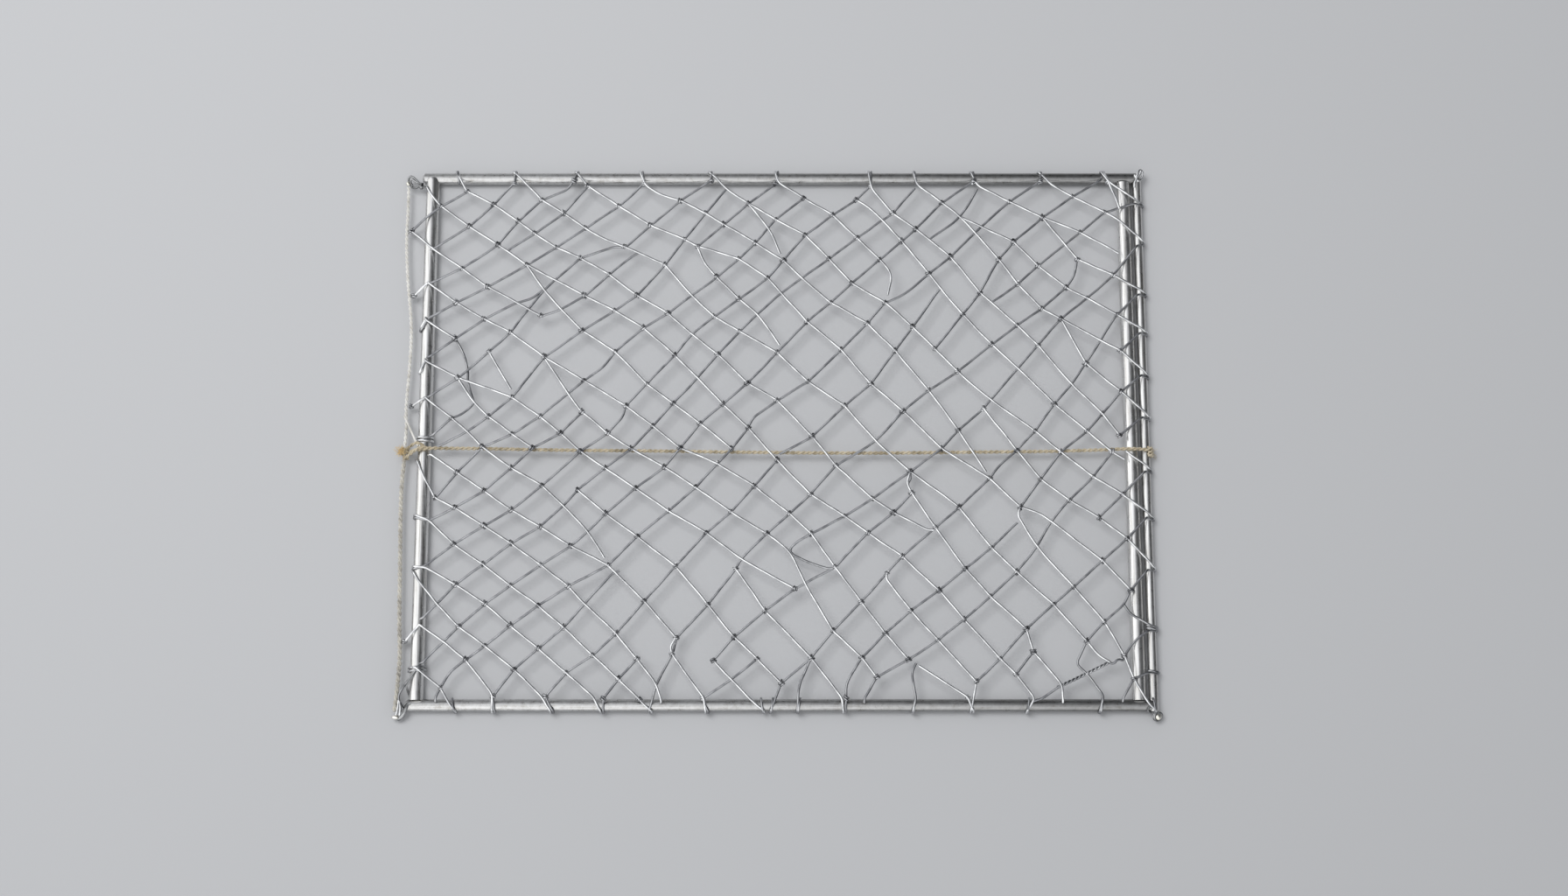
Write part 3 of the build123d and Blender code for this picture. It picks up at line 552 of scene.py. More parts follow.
def close_tree(add, geometry, material):
    """Ends a geometry tree: one real mesh with its material."""
    whole = add("GeometryNodeRealizeInstances", {0: geometry})
    dressed = add("GeometryNodeSetMaterial", {"Geometry": whole, "Material": material})
    add("NodeGroupOutput", {0: dressed})


def sampled(add, given):
    """The bare edges as curves with evenly spaced points."""
    line = add("GeometryNodeMeshToCurve", {0: given["Geometry"]})
    return add("GeometryNodeResampleCurve", {"Curve": line, "Length": given["Spacing"]}, mode="LENGTH")


def circle(add, sides, radius):
    """The ring that a wire or a ply has for its section."""
    return add("GeometryNodeCurvePrimitiveCircle", {"Resolution": sides, "Radius": radius})


def tube(add, curve, ring):
    """A ring carried along a curve, with closed ends."""
    return add("GeometryNodeCurveToMesh", {"Curve": curve, "Profile Curve": ring, "Fill Caps": True})


def grow(obj, tree, *values):
    """Runs a geometry tree on the object, its inputs set in order, and keeps the mesh it makes."""
    modifier = obj.modifiers.new(tree.name, "NODES")
    modifier.node_group = tree
    inputs = [item for item in tree.interface.items_tree if item.in_out == "INPUT"]
    for item, value in zip(inputs[1:], values):
        modifier[item.identifier] = value
    evaluated = obj.evaluated_get(bpy.context.evaluated_depsgraph_get())
    mesh = bpy.data.meshes.new_from_object(evaluated)
    obj.modifiers.remove(modifier)
    obj.data = mesh
    for face in mesh.polygons:
        face.use_smooth = True
    return obj


def wire_tree():
    """Round wire along bare edges, a little wavy from side to side."""
    tree, add, given = new_tree("RoundWire", {
        "Radius": "Float", "Sides": "Int", "Spacing": "Float", "Wave": "Float",
        "Wave Length": "Float", "Material": "Material"})
    points = sampled(add, given)
    scale = maths(add, "DIVIDE", 1.0, given["Wave Length"])
    waves = add("ShaderNodeTexNoise", {"Scale": scale, "Detail": 1.0}).outputs["Color"]
    centred = vectors(add, "SUBTRACT", waves, (0.5, 0.5, 0.5))
    swing = scaled(add, centred, given["Wave"])
    level = vectors(add, "MULTIPLY", swing, (4.0, 4.0, 0.0))
    wavy = add("GeometryNodeSetPosition", {"Geometry": points, "Offset": level})
    ring = circle(add, given["Sides"], given["Radius"])
    close_tree(add, tube(add, wavy, ring), given["Material"])
    return tree


round_wire = wire_tree()


def wire_along(name, paths, diameter, steel, sides=8, spacing=0.25 * MM, wave=0.0, length=WAVE_LENGTH):
    """An object of round wire along the paths, wavy by an amount and with a length of wave."""
    return grow(line_object(name, paths), round_wire, diameter / 2, sides, spacing, wave, length, steel)


bright_steel = bright_wire("bright_soft_wire", BRIGHT_LIGHT, BRIGHT_DARK)
# the same wire again, darker: painted shade for the lower set
shaded_steel = bright_wire("painted_shade_soft_wire", SHADED_WIRE_LIGHT, SHADED_WIRE_DARK)
single_ends, rod_ties = pair_ends(FALLING + RISING)
tied = {reading for wire in FALLING for reading in wire}
tied = (tied & {reading for wire in RISING for reading in wire}) - PLAIN_CROSSINGS
for family, wires, height, steel in (("falling", FALLING, FALLING_HEIGHT, bright_steel),
                                     ("rising", RISING, RISING_HEIGHT, shaded_steel)):
    lines = []
    for readings in wires:
        line, ties = net_line(readings, height, tied)
        lines.append(line)
        rod_ties += ties
    net = wire_along(family + "_net", lines, BARE_WIRE, steel, spacing=RING_SPACING, wave=WAVE)
    set_piece(net, "net_wire", *sorted(name for name in nodes if name.startswith(family)))


# The knots
# Where two wires cross, the lower one takes two close turns round the upper one and goes on.
# The turns are squeezed tight with pliers, so no two knots lie quite alike.
KNOT_WIRE = 0.58 * MM
KNOT_TURNS = 1.9
KNOT_COIL_RADIUS = 0.62 * MM
KNOT_COIL_LENGTH = 1.1 * MM
KNOT_DROP = 0.3 * WIRE  # of a knot's middle below the upper wire's
KNOT_LEAN = 0.3  # radians
KNOT_LEAST_SIZE = 0.85
KNOT_MOST_SIZE = 1.12
KNOT_SEED = 7
KNOT_LIGHT = "#BDBEC0"
KNOT_DARK = "#7F8083"
LONE_KNOT = (1270, 515.5)  # where a lower wire ends on an upper one, at the right


def knot_tree():
    """A close coil at each point, its axis along the point's run."""
    tree, add, given = new_tree("TurnedKnot", {
        "Turns": "Float", "Coil Radius": "Float", "Coil Length": "Float", "Wire Radius": "Float",
        "Seed": "Int", "Material": "Material"})
    spiral = add("GeometryNodeCurveSpiral", {
        "Resolution": 6, "Rotations": given["Turns"], "Start Radius": given["Coil Radius"],
        "End Radius": given["Coil Radius"], "Height": given["Coil Length"]})
    coil = tube(add, spiral, circle(add, 5, given["Wire Radius"]))
    shift = add("ShaderNodeCombineXYZ", {"Z": maths(add, "MULTIPLY", given["Coil Length"], -0.5)})
    centred = add("GeometryNodeTransform", {"Geometry": coil, "Translation": shift})
    run = add("GeometryNodeInputNamedAttribute", {"Name": "run"}, data_type="FLOAT_VECTOR")
    aligned = add("FunctionNodeAlignEulerToVector", {"Vector": run}, axis="Z")
    loose = add("FunctionNodeRandomValue",
                {0: (-KNOT_LEAN, -KNOT_LEAN, 0.0), 1: (KNOT_LEAN, KNOT_LEAN, 6.28), "Seed": given["Seed"]},
                data_type="FLOAT_VECTOR")
    turned = add("FunctionNodeRotateEuler", {"Rotation": aligned, "Rotate By": loose},
                 rotation_type="EULER", space="LOCAL")
    size = add("FunctionNodeRandomValue",
               {2: KNOT_LEAST_SIZE, 3: KNOT_MOST_SIZE, "Seed": given["Seed"]}, data_type="FLOAT")
    placed = add("GeometryNodeInstanceOnPoints", {
        "Points": given["Geometry"], "Instance": centred, "Rotation": turned, "Scale": size.outputs[1]})
    close_tree(add, placed, given["Material"])
    return tree


knot_steel = bright_wire("squeezed_wire", KNOT_LIGHT, KNOT_DARK)
knot_places = rod_ties + [(spot(LONE_KNOT, FALLING_HEIGHT), Vector((1, 0, 0)))]
for readings in FALLING:
    for i, reading in enumerate(readings):
        if reading in tied:
            onward = spot(readings[min(i + 1, len(readings) - 1)]) - spot(readings[max(i - 1, 0)])
            knot_places.append((spot(reading, FALLING_HEIGHT - KNOT_DROP), onward))
knot_points = bpy.data.meshes.new("knots")
knot_points.from_pydata([place for place, run in knot_places], [], [])
run_field = knot_points.attributes.new("run", "FLOAT_VECTOR", "POINT")
for item, (place, run) in zip(run_field.data, knot_places):
    item.vector = run
knots = grow(new_object("knots", knot_points), knot_tree(), KNOT_TURNS, KNOT_COIL_RADIUS,
             KNOT_COIL_LENGTH, KNOT_WIRE / 2, KNOT_SEED, knot_steel)
set_piece(knots, "net_wire")


# The turns of wire at the rods
# Where a bent end is alone on its rod, it comes back over the rod once more and is nipped off
# inside the frame. Two turns of bright wire lie over the left stile at the twine, two lower down.
TURN_START = math.radians(-35)
TURN_END = math.radians(150)
TURN_STEPS = 14
TURN_SPREAD = 0.8 * MM
ARCH_START = -25  # degrees
ARCH_SWEEP = 230
ARCH_GAP = 0.9 * MM
FINE_WIRE = 0.6 * MM


def turn_over_rod(end, side):
    """The second strand over a rod: from a bent end back to the inner side, moving along the rod."""
    out, diameter = rod_at(end, 0)
    radius = diameter / 2 + WIRE * CREST_UP
    along = Vector((-out.y, out.x, 0)) * side
    foot = end - out * (abs(end.dot(out)) - edge_of(out))
    points = []
    for step in range(TURN_STEPS + 1):
        share = step / TURN_STEPS
        angle = TURN_START + (TURN_END - TURN_START) * share
        place = foot + out * radius * math.cos(angle) + along * TURN_SPREAD * share
        place.z = max(diameter / 2 + radius * math.sin(angle), WIRE / 2)
        points.append(place)
    return points


def arches_over_stile(reading, slant):
    """Two turns of wire side by side over the left stile."""
    middle = spot(reading).y
    radius = (STILE_DIAMETER + WIRE) / 2
    arches = []
    for side in (-0.5, 0.5):
        arch = []
        for step in range(TURN_STEPS + 1):
            angle = math.radians(ARCH_START + ARCH_SWEEP * step / TURN_STEPS)
            arch.append(Vector((
                LEFT + radius * math.cos(angle), middle + side * ARCH_GAP + slant * math.cos(angle),
                STILE_DIAMETER / 2 + radius * math.sin(angle))))
        arches.append(arch)
    return arches


def bent_wire(name, paths, diameter, steel, *stands_for, sides=8):
    """A small piece of round wire or rod along its paths."""
    set_piece(wire_along(name, paths, diameter, steel, sides), "net_wire", *stands_for)


turns = []
for reading, inner in single_ends.items():
    out = rod_at(spot(reading), 0)[0]
    slant = (spot(inner) - spot(reading)).dot(Vector((-out.y, out.x, 0)))
    if spot(reading).x > LEFT:
        turns.append(turn_over_rod(spot(reading), math.copysign(1, slant)))
bent_wire("rod_turns", turns, BARE_WIRE, knot_steel)
bent_wire("stile_wrap_wire", arches_over_stile((483, 500), 0.0), BARE_WIRE, bright_steel, "stile_wrap")
bent_wire("stile_lower_wrap", arches_over_stile((476, 763), 0.25 * MM), FINE_WIRE, knot_steel)


# The loops at the corners
# Each corner is tied with a loop of the net's own wire: two strands at the top left, a single
# eye at the top right, a hook under the string's end and a ring. Solder beads hold three of them.
LOOP_LIGHT = "#A3A4A5"
LOOP_DARK = "#5F6061"
SOLDER_LIGHT = "#F4F2EA"
SOLDER_DARK = "#D6D3C6"
LOOP_WIRE = 0.62 * MM
BAR_DIAMETER = 0.95 * MM
JOINT_DIAMETER = 3.14 * MM  # a little under the rail's, which it carries on through the stile
JOINT_HALF = 2.3 * MM
TURN_POINTS = 12
BEAD_UNEVENNESS = 0.16
BEAD_DENTS = 2.4  # across a bead


def by_hand(*run):
    """A wire's middle line through places given as a reading and a height in millimetres."""
    return eased([spot(place[:2], place[2] * MM) for place in run])


def wound(reading, height, axis, radius, turns, pitch):
    """Close turns of wire round an axis."""
    middle = spot(reading, height * MM)
    axis = axis.normalized()
    first = axis.orthogonal().normalized()
    second = axis.cross(first)
    steps = round(turns * TURN_POINTS)
    points = []
    for i in range(steps + 1):
        angle = math.tau * i / TURN_POINTS
        points.append(middle + first * radius * math.cos(angle) + second * radius * math.sin(angle)
                      + axis * pitch * (i - steps / 2) / TURN_POINTS)
    return points


def solder_bead(name, reading, height, size, seed):
    """A small drop of solder, a little uneven."""
    shape = bmesh.new()
    bmesh.ops.create_icosphere(shape, subdivisions=3, radius=0.5)
    offset = Vector((seed, 0, 0))
    for vert in shape.verts:
        vert.co *= 1 + BEAD_UNEVENNESS * noise.noise(vert.co * BEAD_DENTS + offset)
        vert.co = Vector(vert.co[i] * size[i] * MM for i in range(3)) + spot(reading, height * MM)
    mesh = bpy.data.meshes.new(name)
    shape.to_mesh(mesh)
    shape.free()
    for face in mesh.polygons:
        face.use_smooth = True
    mesh.materials.append(solder)
    set_piece(new_object(name, mesh), "net_wire")


loop_steel = bright_wire("bent_loop_wire", LOOP_LIGHT, LOOP_DARK)
solder = bright_wire("soft_solder", SOLDER_LIGHT, SOLDER_DARK)
joint = [Vector((LEFT + side * JOINT_HALF, TOP, RAIL_DIAMETER / 2)) for side in (-1, 1)]
bent_wire("top_left_joint", [joint], JOINT_DIAMETER, rail_steel, sides=32)
bent_wire("top_left_strands", [
    by_hand((481.5, 210.5, 3.9), (476, 204.5, 3.3), (471, 199.3, 2.9), (467.6, 198.3, 2.7),
            (465.4, 201, 2.6), (466, 205, 2.4), (469, 210.5, 2.2), (474, 211.8, 2.3),
            (478.5, 209, 3.0), (483, 208.5, 3.9)),
    by_hand((482, 209, 4.2), (476, 206.8, 3.5), (471, 202.6, 3.2), (468.3, 202.2, 3.0),
            (468, 206, 2.8), (470.5, 209.5, 2.7)),
    wound((481, 211), 3.3, Vector((-1, 1, 0.2)), 0.5 * MM, 2.5, 0.42 * MM),
], FINE_WIRE, loop_steel, "top_left_loop")
solder_bead("top_left_bead", (465.6, 207), 2.7, (1.25, 1.3, 1.2), 1)
bent_wire("top_right_eye", [
    by_hand((1296.8, 213, 3.9), (1296.6, 208, 4.1), (1299, 204, 4.0), (1299.6, 200.5, 3.9),
            (1300.8, 195, 3.7), (1303.8, 191.4, 3.3), (1306.8, 193.6, 2.9), (1307.2, 198, 2.7),
            (1305, 202.6, 2.7), (1301.6, 204.2, 3.0), (1299.2, 201.6, 3.3), (1297.2, 197.6, 3.4)),
    by_hand((1304.6, 193.4, 3.6), (1303.4, 197, 3.6), (1301.2, 201, 3.7)),
], LOOP_WIRE, bright_steel, "top_right_loop")
bent_wire("bottom_left_bar", [
    by_hand((468, 802, 3.2), (464.6, 803.5, 3.2), (462, 810, 2.7), (457.5, 817.3, 1.9),
            (451.8, 820.6, 1.2)),
], BAR_DIAMETER, loop_steel)
bent_wire("bottom_left_hook", [
    by_hand((466.5, 803, 2.4), (462, 804.5, 2.5), (458.6, 811, 2.2), (453.5, 817, 1.6),
            (450, 816.8, 1.2)),
    by_hand((474.7, 765, 4.2), (467.5, 774.5, 4.0), (461.2, 782.3, 3.6), (455.6, 790.5, 3.2),
            (454.2, 797, 3.0), (456, 802.5, 2.9), (459.4, 808.5, 2.8)),
    by_hand((471, 771, 3.7), (463.3, 781.8, 3.0), (463.6, 786, 2.2), (466.2, 795, 1.4)),
], LOOP_WIRE, loop_steel, "bottom_left_loop")
bent_wire("bottom_left_ties", [
    by_hand((454.6, 799, 3.1), (453.2, 806, 2.7), (450.6, 815.5, 1.9)),
    by_hand((455.4, 800, 3.0), (456.2, 807, 2.6), (454.6, 815.5, 1.9)),
], LOOP_WIRE, bright_steel)
solder_bead("bottom_left_bead", (449.8, 818), 1.6, (2.1, 1.1, 1.1), 5)
bent_wire("bottom_right_turns", [
    wound((1325, 816.8), 1.7, Vector((0.45, -0.4, 0.8)), 1.15 * MM, 2.2, 0.45 * MM),
    by_hand((1318.6, 806.5, 3.2), (1314.2, 806.5, 3.4), (1312.6, 810, 2.8), (1315, 812.6, 2.0),
            (1318.6, 811.6, 1.5)),
], BARE_WIRE, loop_steel, "bottom_right_ring")
solder_bead("bottom_right_bead", (1325, 817.2), 1.6, (2.0, 2.0, 1.9), 8)


# The string and the twine
# Two-ply cotton string from the top left corner down to the knot, and two-ply jute twine
# across the middle and on down the left side. Each is pulled tight between its ties.
STRING_DIAMETER = 1.15 * MM
TWINE_DIAMETER = 1.25 * MM
STRING_LAY = 2.7 * MM
TWINE_LAY = 3.0 * MM
TIGHT = 0.21  # of a cord's diameter that its plies lie out from its middle, in a tight cord
FULL = 0.25  # and in a fuller one
PLY_SHARE = 1.04  # a ply's radius beside that distance
FIBRE_TWIST = 1.4 * MM  # along a ply, in which its fibres go once round it
FIBRES_AROUND = 9.0
FIBRE_LENGTH = 2.2 * MM
FIBRE_DEPTH = 0.12 * MM
FLECK_SIZE = 2.5 * MM

# The cords' middle lines, in millimetres
STRING_ROUTE = [
    (-105.2, 70.65, 2.6), (-105.1, 64.4, 2.6), (-105.4, 55.4, 2.6), (-104.5, 42.6, 2.6),
    (-102.9, 30.5, 2.6), (-103.2, 18.1, 2.6), (-103.9, 7.8, 2.6), (-103.4, 1.6, 2.6),
    (-103.8, -3.4, 2.6),
]
LEFT_TWINE_ROUTE = [
    (-103.8, -6.9, 2.6), (-104.3, -12.9, 2.6), (-104.3, -23.0, 2.6), (-103.9, -36.2, 2.6),
    (-103.7, -50.4, 2.6), (-102.9, -63.7, 2.6), (-104.1, -75.2, 2.6),
]
CROSS_TWINE_ROUTE = [
    (-102.33, -4.9, 3.28), (-99.9, -4.4, 4.4), (-96.9, -4.0, 4.4), (-91.6, -3.8, 3.02),
    (-82.0, -3.85, 3.02), (-64.0, -4.3, 3.02), (-36.0, -4.5, 3.02), (-4.0, -5.0, 3.02),
    (26.0, -5.15, 3.02), (54.0, -4.8, 3.02), (72.0, -4.65, 3.02), (82.0, -4.35, 3.02),
    (87.6, -4.2, 3.02), (92.9, -4.15, 4.4), (96.37, -4.2, 4.4), (99.09, -4.25, 3.4),
]


def spun_fibre(name, light, dark, fibre):
    """Spun fibre: fine slanted fibres along each ply, flecked, quite matt with a soft sheen."""
    material, add = new_material(name)
    along = add("ShaderNodeAttribute", attribute_name="along").outputs["Fac"]
    around = add("ShaderNodeAttribute", attribute_name="around").outputs["Fac"]
    twist = maths(add, "MULTIPLY_ADD", along, 1 / FIBRE_TWIST, around)
    across = maths(add, "MULTIPLY", twist, FIBRES_AROUND)
    down = maths(add, "MULTIPLY", along, 1 / FIBRE_LENGTH)
    place = add("ShaderNodeCombineXYZ", {"X": across, "Y": down})
    fibres = add("ShaderNodeTexNoise", {"Vector": place, "Scale": 1.0, "Detail": 3.0})
    place = add("ShaderNodeTexCoord").outputs["Object"]
    flecks = add("ShaderNodeTexNoise", {"Vector": place, "Scale": 1 / FLECK_SIZE, "Detail": 3.0})
    half = maths(add, "MULTIPLY", maths(add, "ADD", fibres, flecks), 0.5)
    bump = add("ShaderNodeBump", {"Height": fibres, "Strength": 0.6, "Distance": FIBRE_DEPTH})
    coat(add, {"Base Color": ramp(add, half, (0.36, dark), (0.5, fibre), (0.64, light)),
               "Roughness": 0.85, "Sheen Weight": 0.25, "Sheen Roughness": 0.5, "Normal": bump})
    return material


def ply_tree():
    """Two plies twisted round each other along bare edges."""
    tree, add, given = new_tree("TwistedPlies", {
        "Lay Radius": "Float", "Lay Length": "Float", "Ply Radius": "Float", "Spacing": "Float",
        "Sides": "Int", "Material": "Material"})
    points = sampled(add, given)
    tangent = add("GeometryNodeInputTangent")
    side = vectors(add, "NORMALIZE", vectors(add, "CROSS_PRODUCT", tangent, (0.0, 0.0, 1.0)))
    rise = vectors(add, "CROSS_PRODUCT", side, tangent)
    length = add("GeometryNodeSplineParameter").outputs["Length"]
    angle = maths(add, "MULTIPLY", maths(add, "DIVIDE", length, given["Lay Length"]), math.tau)
    marked = add("GeometryNodeStoreNamedAttribute",
                 {"Geometry": points, "Name": "along", "Value": length}, data_type="FLOAT")
    share = add("GeometryNodeSplineParameter").outputs["Factor"]
    ring = add("GeometryNodeStoreNamedAttribute",
               {"Geometry": circle(add, given["Sides"], given["Ply Radius"]), "Name": "around",
                "Value": share}, data_type="FLOAT")
    joined = add("GeometryNodeJoinGeometry")
    for ply in range(2):
        phase = maths(add, "ADD", angle, math.pi * ply)
        aside = scaled(add, side, maths(add, "COSINE", phase))
        above = scaled(add, rise, maths(add, "SINE", phase))
        offset = scaled(add, vectors(add, "ADD", aside, above), given["Lay Radius"])
        moved = add("GeometryNodeSetPosition", {"Geometry": marked, "Offset": offset})
        tree.links.new(tube(add, moved, ring).outputs[0], joined.inputs[0])
    close_tree(add, joined, given["Material"])
    return tree


def cord_line(name, route):
    """The points of the smooth line that a cord takes along its route."""
    curve = bpy.data.curves.new(name, "CURVE")
    curve.dimensions = "3D"
    spline = curve.splines.new("NURBS")
    spline.points.add(len(route) - 1)
    for point, place in zip(spline.points, route):
        point.co = (place[0] * MM, place[1] * MM, place[2] * MM, 1)
    spline.order_u = 3
    spline.use_endpoint_u = True
    spline.resolution_u = 24
    line = new_object(name, curve)
    mesh = bpy.data.meshes.new_from_object(line.evaluated_get(bpy.context.evaluated_depsgraph_get()))
    bpy.data.objects.remove(line)
    return [vert.co.copy() for vert in mesh.vertices]


def laid(name, paths, lay_radius, ply_radius, lay, material, spacing=0.3 * MM, sides=8):
    """An object of two plies, their middles at the lay's radius, twisted along the paths."""
    return grow(line_object(name, paths), plies, lay_radius, lay, ply_radius, spacing, sides, material)


plies = ply_tree()
cotton = spun_fibre("cotton_string", "#F1F0EC", "#BDBAB2", "#E2E0DA")
jute = spun_fibre("jute_twine", "#DED3BC", "#8F836B", "#C4B79C")
ash_jute = spun_fibre("washed_jute_twine", "#DDDAD0", "#94908A", "#BEBAB0")
cords = {}
for node_name, route, diameter, lay, fibre, fullness, slot in (
        ("left_string", STRING_ROUTE, STRING_DIAMETER, STRING_LAY, cotton, TIGHT, "string"),
        ("left_twine", LEFT_TWINE_ROUTE, TWINE_DIAMETER, TWINE_LAY, ash_jute, FULL, "twine"),
        ("cross_twine", CROSS_TWINE_ROUTE, TWINE_DIAMETER, TWINE_LAY, jute, TIGHT, "twine")):
    path = cord_line(node_name + "_line", route)
    cord = laid(node_name + "_plies", [path], fullness * diameter, PLY_SHARE * fullness * diameter,
                lay, fibre, 0.35 * MM, 10)
    length = sum((b - a).length for a, b in zip(path, path[1:]))
    cords[node_name] = (set_piece(cord, slot, node_name), path, length, diameter)


# The knot and the last turn of the twine
# The string and both twines meet in one hard knot beside the stile, with a frayed tuft. The
# cross twine ends round the outer rod in three turns, and its end is frayed too.
KNOT_STRAND = 0.95 * MM
KNOT_STEPS = 24  # to a turn
SPLIT_PLY = 0.6 * MM
END_STRAND = 1.05 * MM
END_TURNS = 3
END_PITCH = 0.95 * MM
END_START = 75  # degrees
END_SWEEP = 120
END_STEPS = 12
FIBRE = 0.1 * MM
FIBRE_POINTS = 5
FIBRE_BEND = 0.35  # of a fibre's length
FIBRE_WAVE = 0.05 * MM
FIBRE_WAVE_LENGTH = 1.5 * MM
ROOT_SPREAD = 0.45 * MM
LEAST_HEIGHT = 0.2 * MM


def frayed(name, root, toward, count, reach, spread, material, seed):
    """A tuft of fibres that fan out from their root."""
    dice = random.Random(seed)

    def throw(height):
        return Vector((dice.uniform(-1, 1), dice.uniform(-1, 1), dice.uniform(-height, height)))

    paths = []
    for _ in range(count):
        lean = throw(0.7) * spread
        length = reach * dice.uniform(0.5, 1.0)
        bend = throw(0.5) * FIBRE_BEND
        start = root + throw(1) * ROOT_SPREAD
        points = []
        for step in range(FIBRE_POINTS):
            t = step / (FIBRE_POINTS - 1)
            points.append(start + (toward + lean) * length * t + bend * length * t * t)
            points[-1].z = max(points[-1].z, LEAST_HEIGHT)
        paths.append(points)
    tuft = wire_along(name, paths, FIBRE, material, 4, 0.4 * MM, FIBRE_WAVE, FIBRE_WAVE_LENGTH)
    return set_piece(tuft, "twine")


knot_centre = Vector((-103.8, -5.2, 2.6)) * MM
knot_path = []
for step in range(2 * KNOT_STEPS + 1):
    turn = math.tau * step / KNOT_STEPS
    swing = 1.25 * math.sin(turn / 3) + 0.35 * math.sin(2 * turn)
    knot_path.append(knot_centre + Vector((math.cos(turn), swing, 0.95 * math.sin(turn))) * MM)
knot = laid("twine_knot_turns", [
    by_hand((486, 510.5, 4.5), (480, 511, 4.9), (474, 513.5, 4.3), (467, 518, 3.4),
            (460.5, 522.3, 2.6)),
    by_hand((487, 511, 4.0), (481, 506.5, 4.8), (475.5, 505.2, 4.5), (469, 508, 3.8),
            (463.5, 512, 3.2), (460.8, 517, 2.9), (461, 523, 2.4)),
    knot_path,
], FULL * KNOT_STRAND, PLY_SHARE * FULL * KNOT_STRAND, TWINE_LAY, jute)
set_piece(knot, "twine", "twine_knot")
split = wire_along("split_ply_of_string", [
    by_hand((460.6, 473, 2.6), (465, 482.5, 3.0), (470.5, 494, 3.6), (475.5, 505, 4.2),
            (478, 509, 4.6)),
], SPLIT_PLY, cotton, spacing=0.3 * MM)
set_piece(split, "string")
straw = spun_fibre("frayed_jute", "#EFD8A8", "#CFAE74", "#E3C78F")
knot_tuft = frayed("twine_knot_tuft", knot_centre + Vector((-0.5, 0.3, 0.9)) * MM,
                   Vector((-0.35, 0.15, 0.2)), 110, 1.5 * MM, 1.0, straw, 4)

end_y = spot((1319, 514)).y
end_radius = (OUTER_ROD_DIAMETER + END_STRAND) / 2
end_path = []
for turn in range(END_TURNS):
    arc = []
    for step in range(END_STEPS + 1):
        angle = math.radians(END_START - END_SWEEP * step / END_STEPS)
        arc.append(Vector((RIGHT + end_radius * math.cos(angle), end_y + (turn - 1) * END_PITCH,
                           RAIL_DIAMETER / 2 + end_radius * math.sin(angle))))
    end_path.append(arc)
end_turns = laid("twine_end_turns", end_path, FULL * END_STRAND, PLY_SHARE * FULL * END_STRAND,
                 TWINE_LAY, jute)
set_piece(end_turns, "twine", "twine_end")
end_tuft = frayed("twine_end_tuft", Vector((RIGHT + 1.6 * MM, end_y, 1.7 * MM)),
                  Vector((0.25, -0.1, -0.2)), 40, 1.6 * MM, 0.9, jute, 9)

for node_name, extras in (("left_string", [split]), ("left_twine", []),
                          ("cross_twine", [knot, knot_tuft, end_turns, end_tuft])):
    cord, path, length, diameter = cords[node_name]


# Loose wires
# Offcuts and slack that the maker left in the net: strands that hang in a bow between two
# crossings, a doubled strand at the lower right, and a small curl at its end.
DOUBLE_LAY_RADIUS = 0.22 * MM
DOUBLE_STRAND_RADIUS = 0.27 * MM
DOUBLE_LAY = 2.4 * MM
# The loose wires take the lower set's darker copy, its painted shade.
bent_wire("slack_wires", [
    by_hand((520, 386, 4.3), (527, 397, 3.9), (532, 410, 3.6), (534.5, 424, 3.5), (534, 434, 3.5),
            (538, 449, 3.5), (541.5, 458.5, 3.6), (537.5, 464, 3.8), (527, 472.5, 4.0),
            (516, 477, 4.3)),
    by_hand((927, 609, 4.2), (911, 618, 3.9), (904, 624.5, 3.7), (903, 629, 3.6), (907, 633, 3.6),
            (921, 640, 3.7), (934, 645, 3.9), (947, 649, 4.2), (954, 647.5, 4.3)),
    by_hand((1040, 540, 4.6), (1041, 546, 4.0), (1038, 551, 3.9), (1037.5, 554.5, 4.2)),
    by_hand((773, 729, 4.5), (771, 737, 4.0), (769.4, 744, 4.1)),
    by_hand((1268, 756, 4.4), (1271, 757.8, 4.5), (1274, 756.6, 4.7), (1276, 753.8, 4.8),
            (1279.5, 752.8, 4.7), (1283, 754.4, 4.4), (1285, 751.5, 4.3)),
    by_hand((1182, 800, 3.9), (1191, 797.5, 4.0), (1211, 783.5, 4.1)),
], BARE_WIRE, shaded_steel)
doubled = laid("doubled_strand", [by_hand((1209, 784.5, 4.0), (1240, 770, 4.0), (1269, 755.5, 4.3))],
               DOUBLE_LAY_RADIUS, DOUBLE_STRAND_RADIUS, DOUBLE_LAY, shaded_steel)
set_piece(doubled, "net_wire")


# The paper that the gauze lies on, the light and the camera
# Matt paper takes soft shadows from one large lamp at the upper left. The metal sees a studio
# that is bright to the left and in front, and dark behind and to the right.
PAPER = "#C5C6C8"
floor_mesh = bpy.data.meshes.new("floor")
floor_mesh.from_pydata([(-2, -2, 0), (2, -2, 0), (2, 2, 0), (-2, 2, 0)], [], [(0, 1, 2, 3)])
floor = new_object("floor", floor_mesh)
paper, add = new_material("pale_grey_paper")
coat(add, {"Base Color": linear(PAPER), "Roughness": 0.9})
floor_mesh.materials.append(paper)

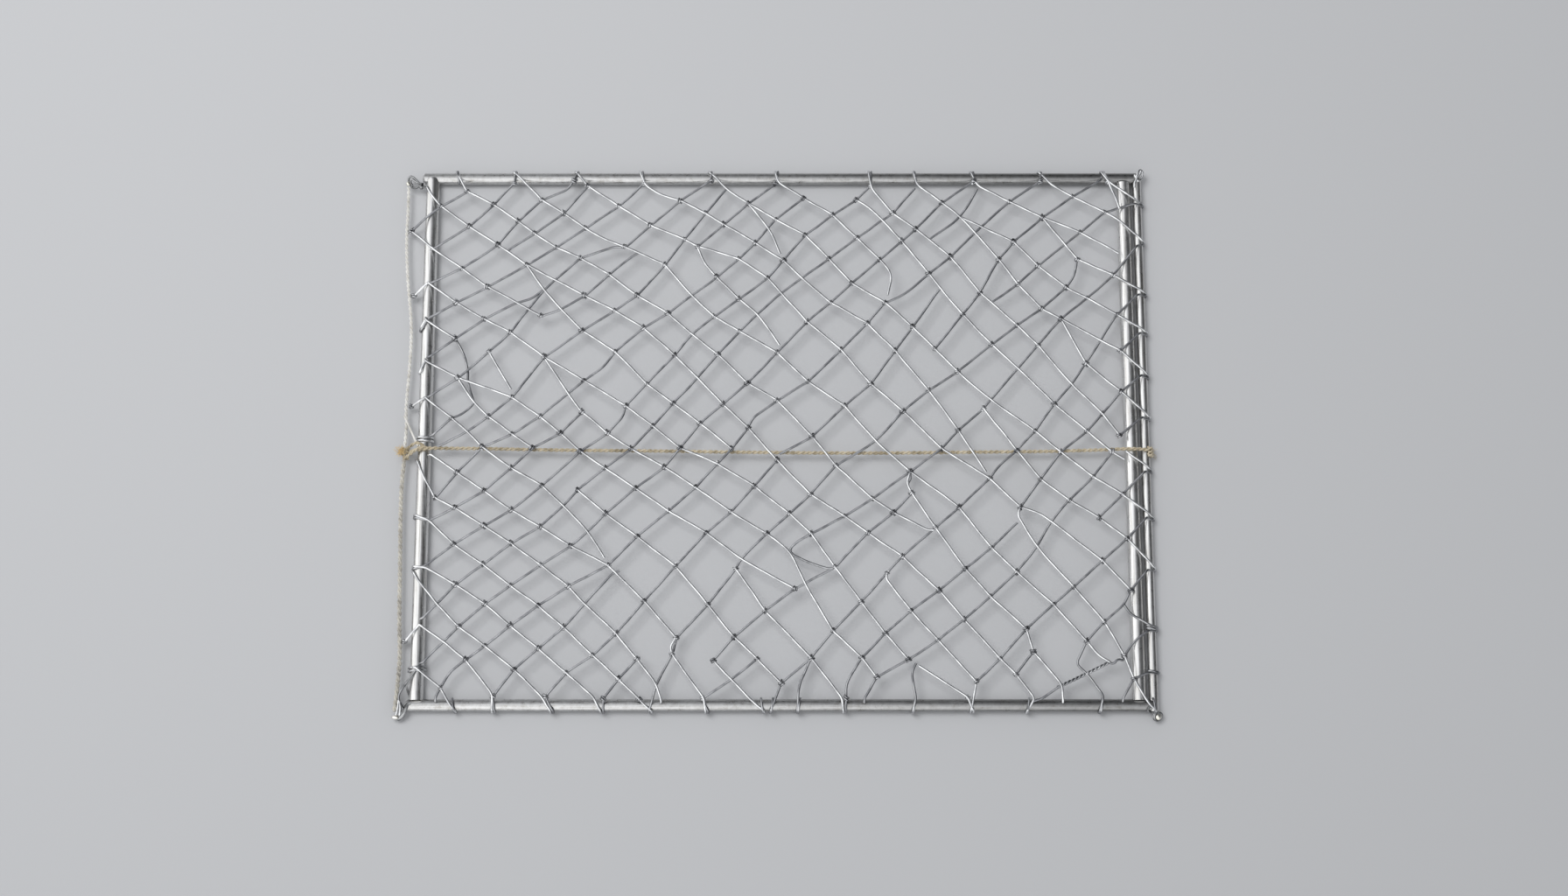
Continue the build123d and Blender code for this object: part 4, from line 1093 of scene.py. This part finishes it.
BRIGHT_SIDE = (-0.85, -0.5, 0.0)
ROOM = "#DFE0E2"
ROOM_STRENGTH = 0.74
STUDIO_STRENGTH = 1.5  # of what only the metal sees
world = bpy.data.worlds.new("studio")
bpy.context.scene.world = world
world.use_nodes = True
world.node_tree.nodes.clear()
add = partial(add_node, world.node_tree)
direction = add("ShaderNodeTexCoord").outputs["Generated"]
toward = vectors(add, "DOT_PRODUCT", direction, BRIGHT_SIDE).outputs["Value"]
studio = ramp(add, remap(add, toward, -0.6, 0.6, 0.0, 1.0), (0.0, "#404142"), (0.28, "#86878A"),
              (0.42, "#B9BABD"), (0.6, "#F0F1F3"), (1.0, "#FFFFFF"))
glossy = add("ShaderNodeLightPath").outputs["Is Glossy Ray"]
seen = add("ShaderNodeMix", {0: glossy, 6: linear(ROOM), 7: studio}, data_type="RGBA").outputs[2]
glow = remap(add, glossy, 0.0, 1.0, ROOM_STRENGTH, STUDIO_STRENGTH)
light = add("ShaderNodeBackground", {"Color": seen, "Strength": glow})
add("ShaderNodeOutputWorld", {"Surface": light})

KEY_SIZE = 0.44
KEY_POWER = 3.6
KEY_PLACE = Vector((-0.34, 0.24, 0.76))
KEY_AIM = Vector((-0.03, 0.02, 0))
key = bpy.data.lights.new("key", "AREA")
key.shape = "RECTANGLE"
key.size = KEY_SIZE
key.size_y = KEY_SIZE
key.energy = KEY_POWER
key_lamp = new_object("key", key)
key_lamp.location = KEY_PLACE
key_lamp.rotation_euler = (KEY_AIM - KEY_PLACE).to_track_quat("-Z", "Y").to_euler()
key_lamp.visible_glossy = False

CAMERA_LENS = 50
CAMERA_SENSOR = 36
CAMERA_TILT = math.radians(11.416)
CAMERA_DISTANCE = 597.09 * MM
CAMERA_AIM = Vector((-0.247 * MM, -3.085 * MM, 0))
camera_data = bpy.data.cameras.new("camera")
camera_data.lens = CAMERA_LENS
camera_data.sensor_width = CAMERA_SENSOR
camera = new_object("camera", camera_data)
camera.location = CAMERA_AIM + Vector((0, -math.sin(CAMERA_TILT), math.cos(CAMERA_TILT))) * CAMERA_DISTANCE
camera.rotation_euler = (CAMERA_TILT, 0, 0)
bpy.context.scene.camera = camera
bpy.context.scene.view_settings.view_transform = "Standard"
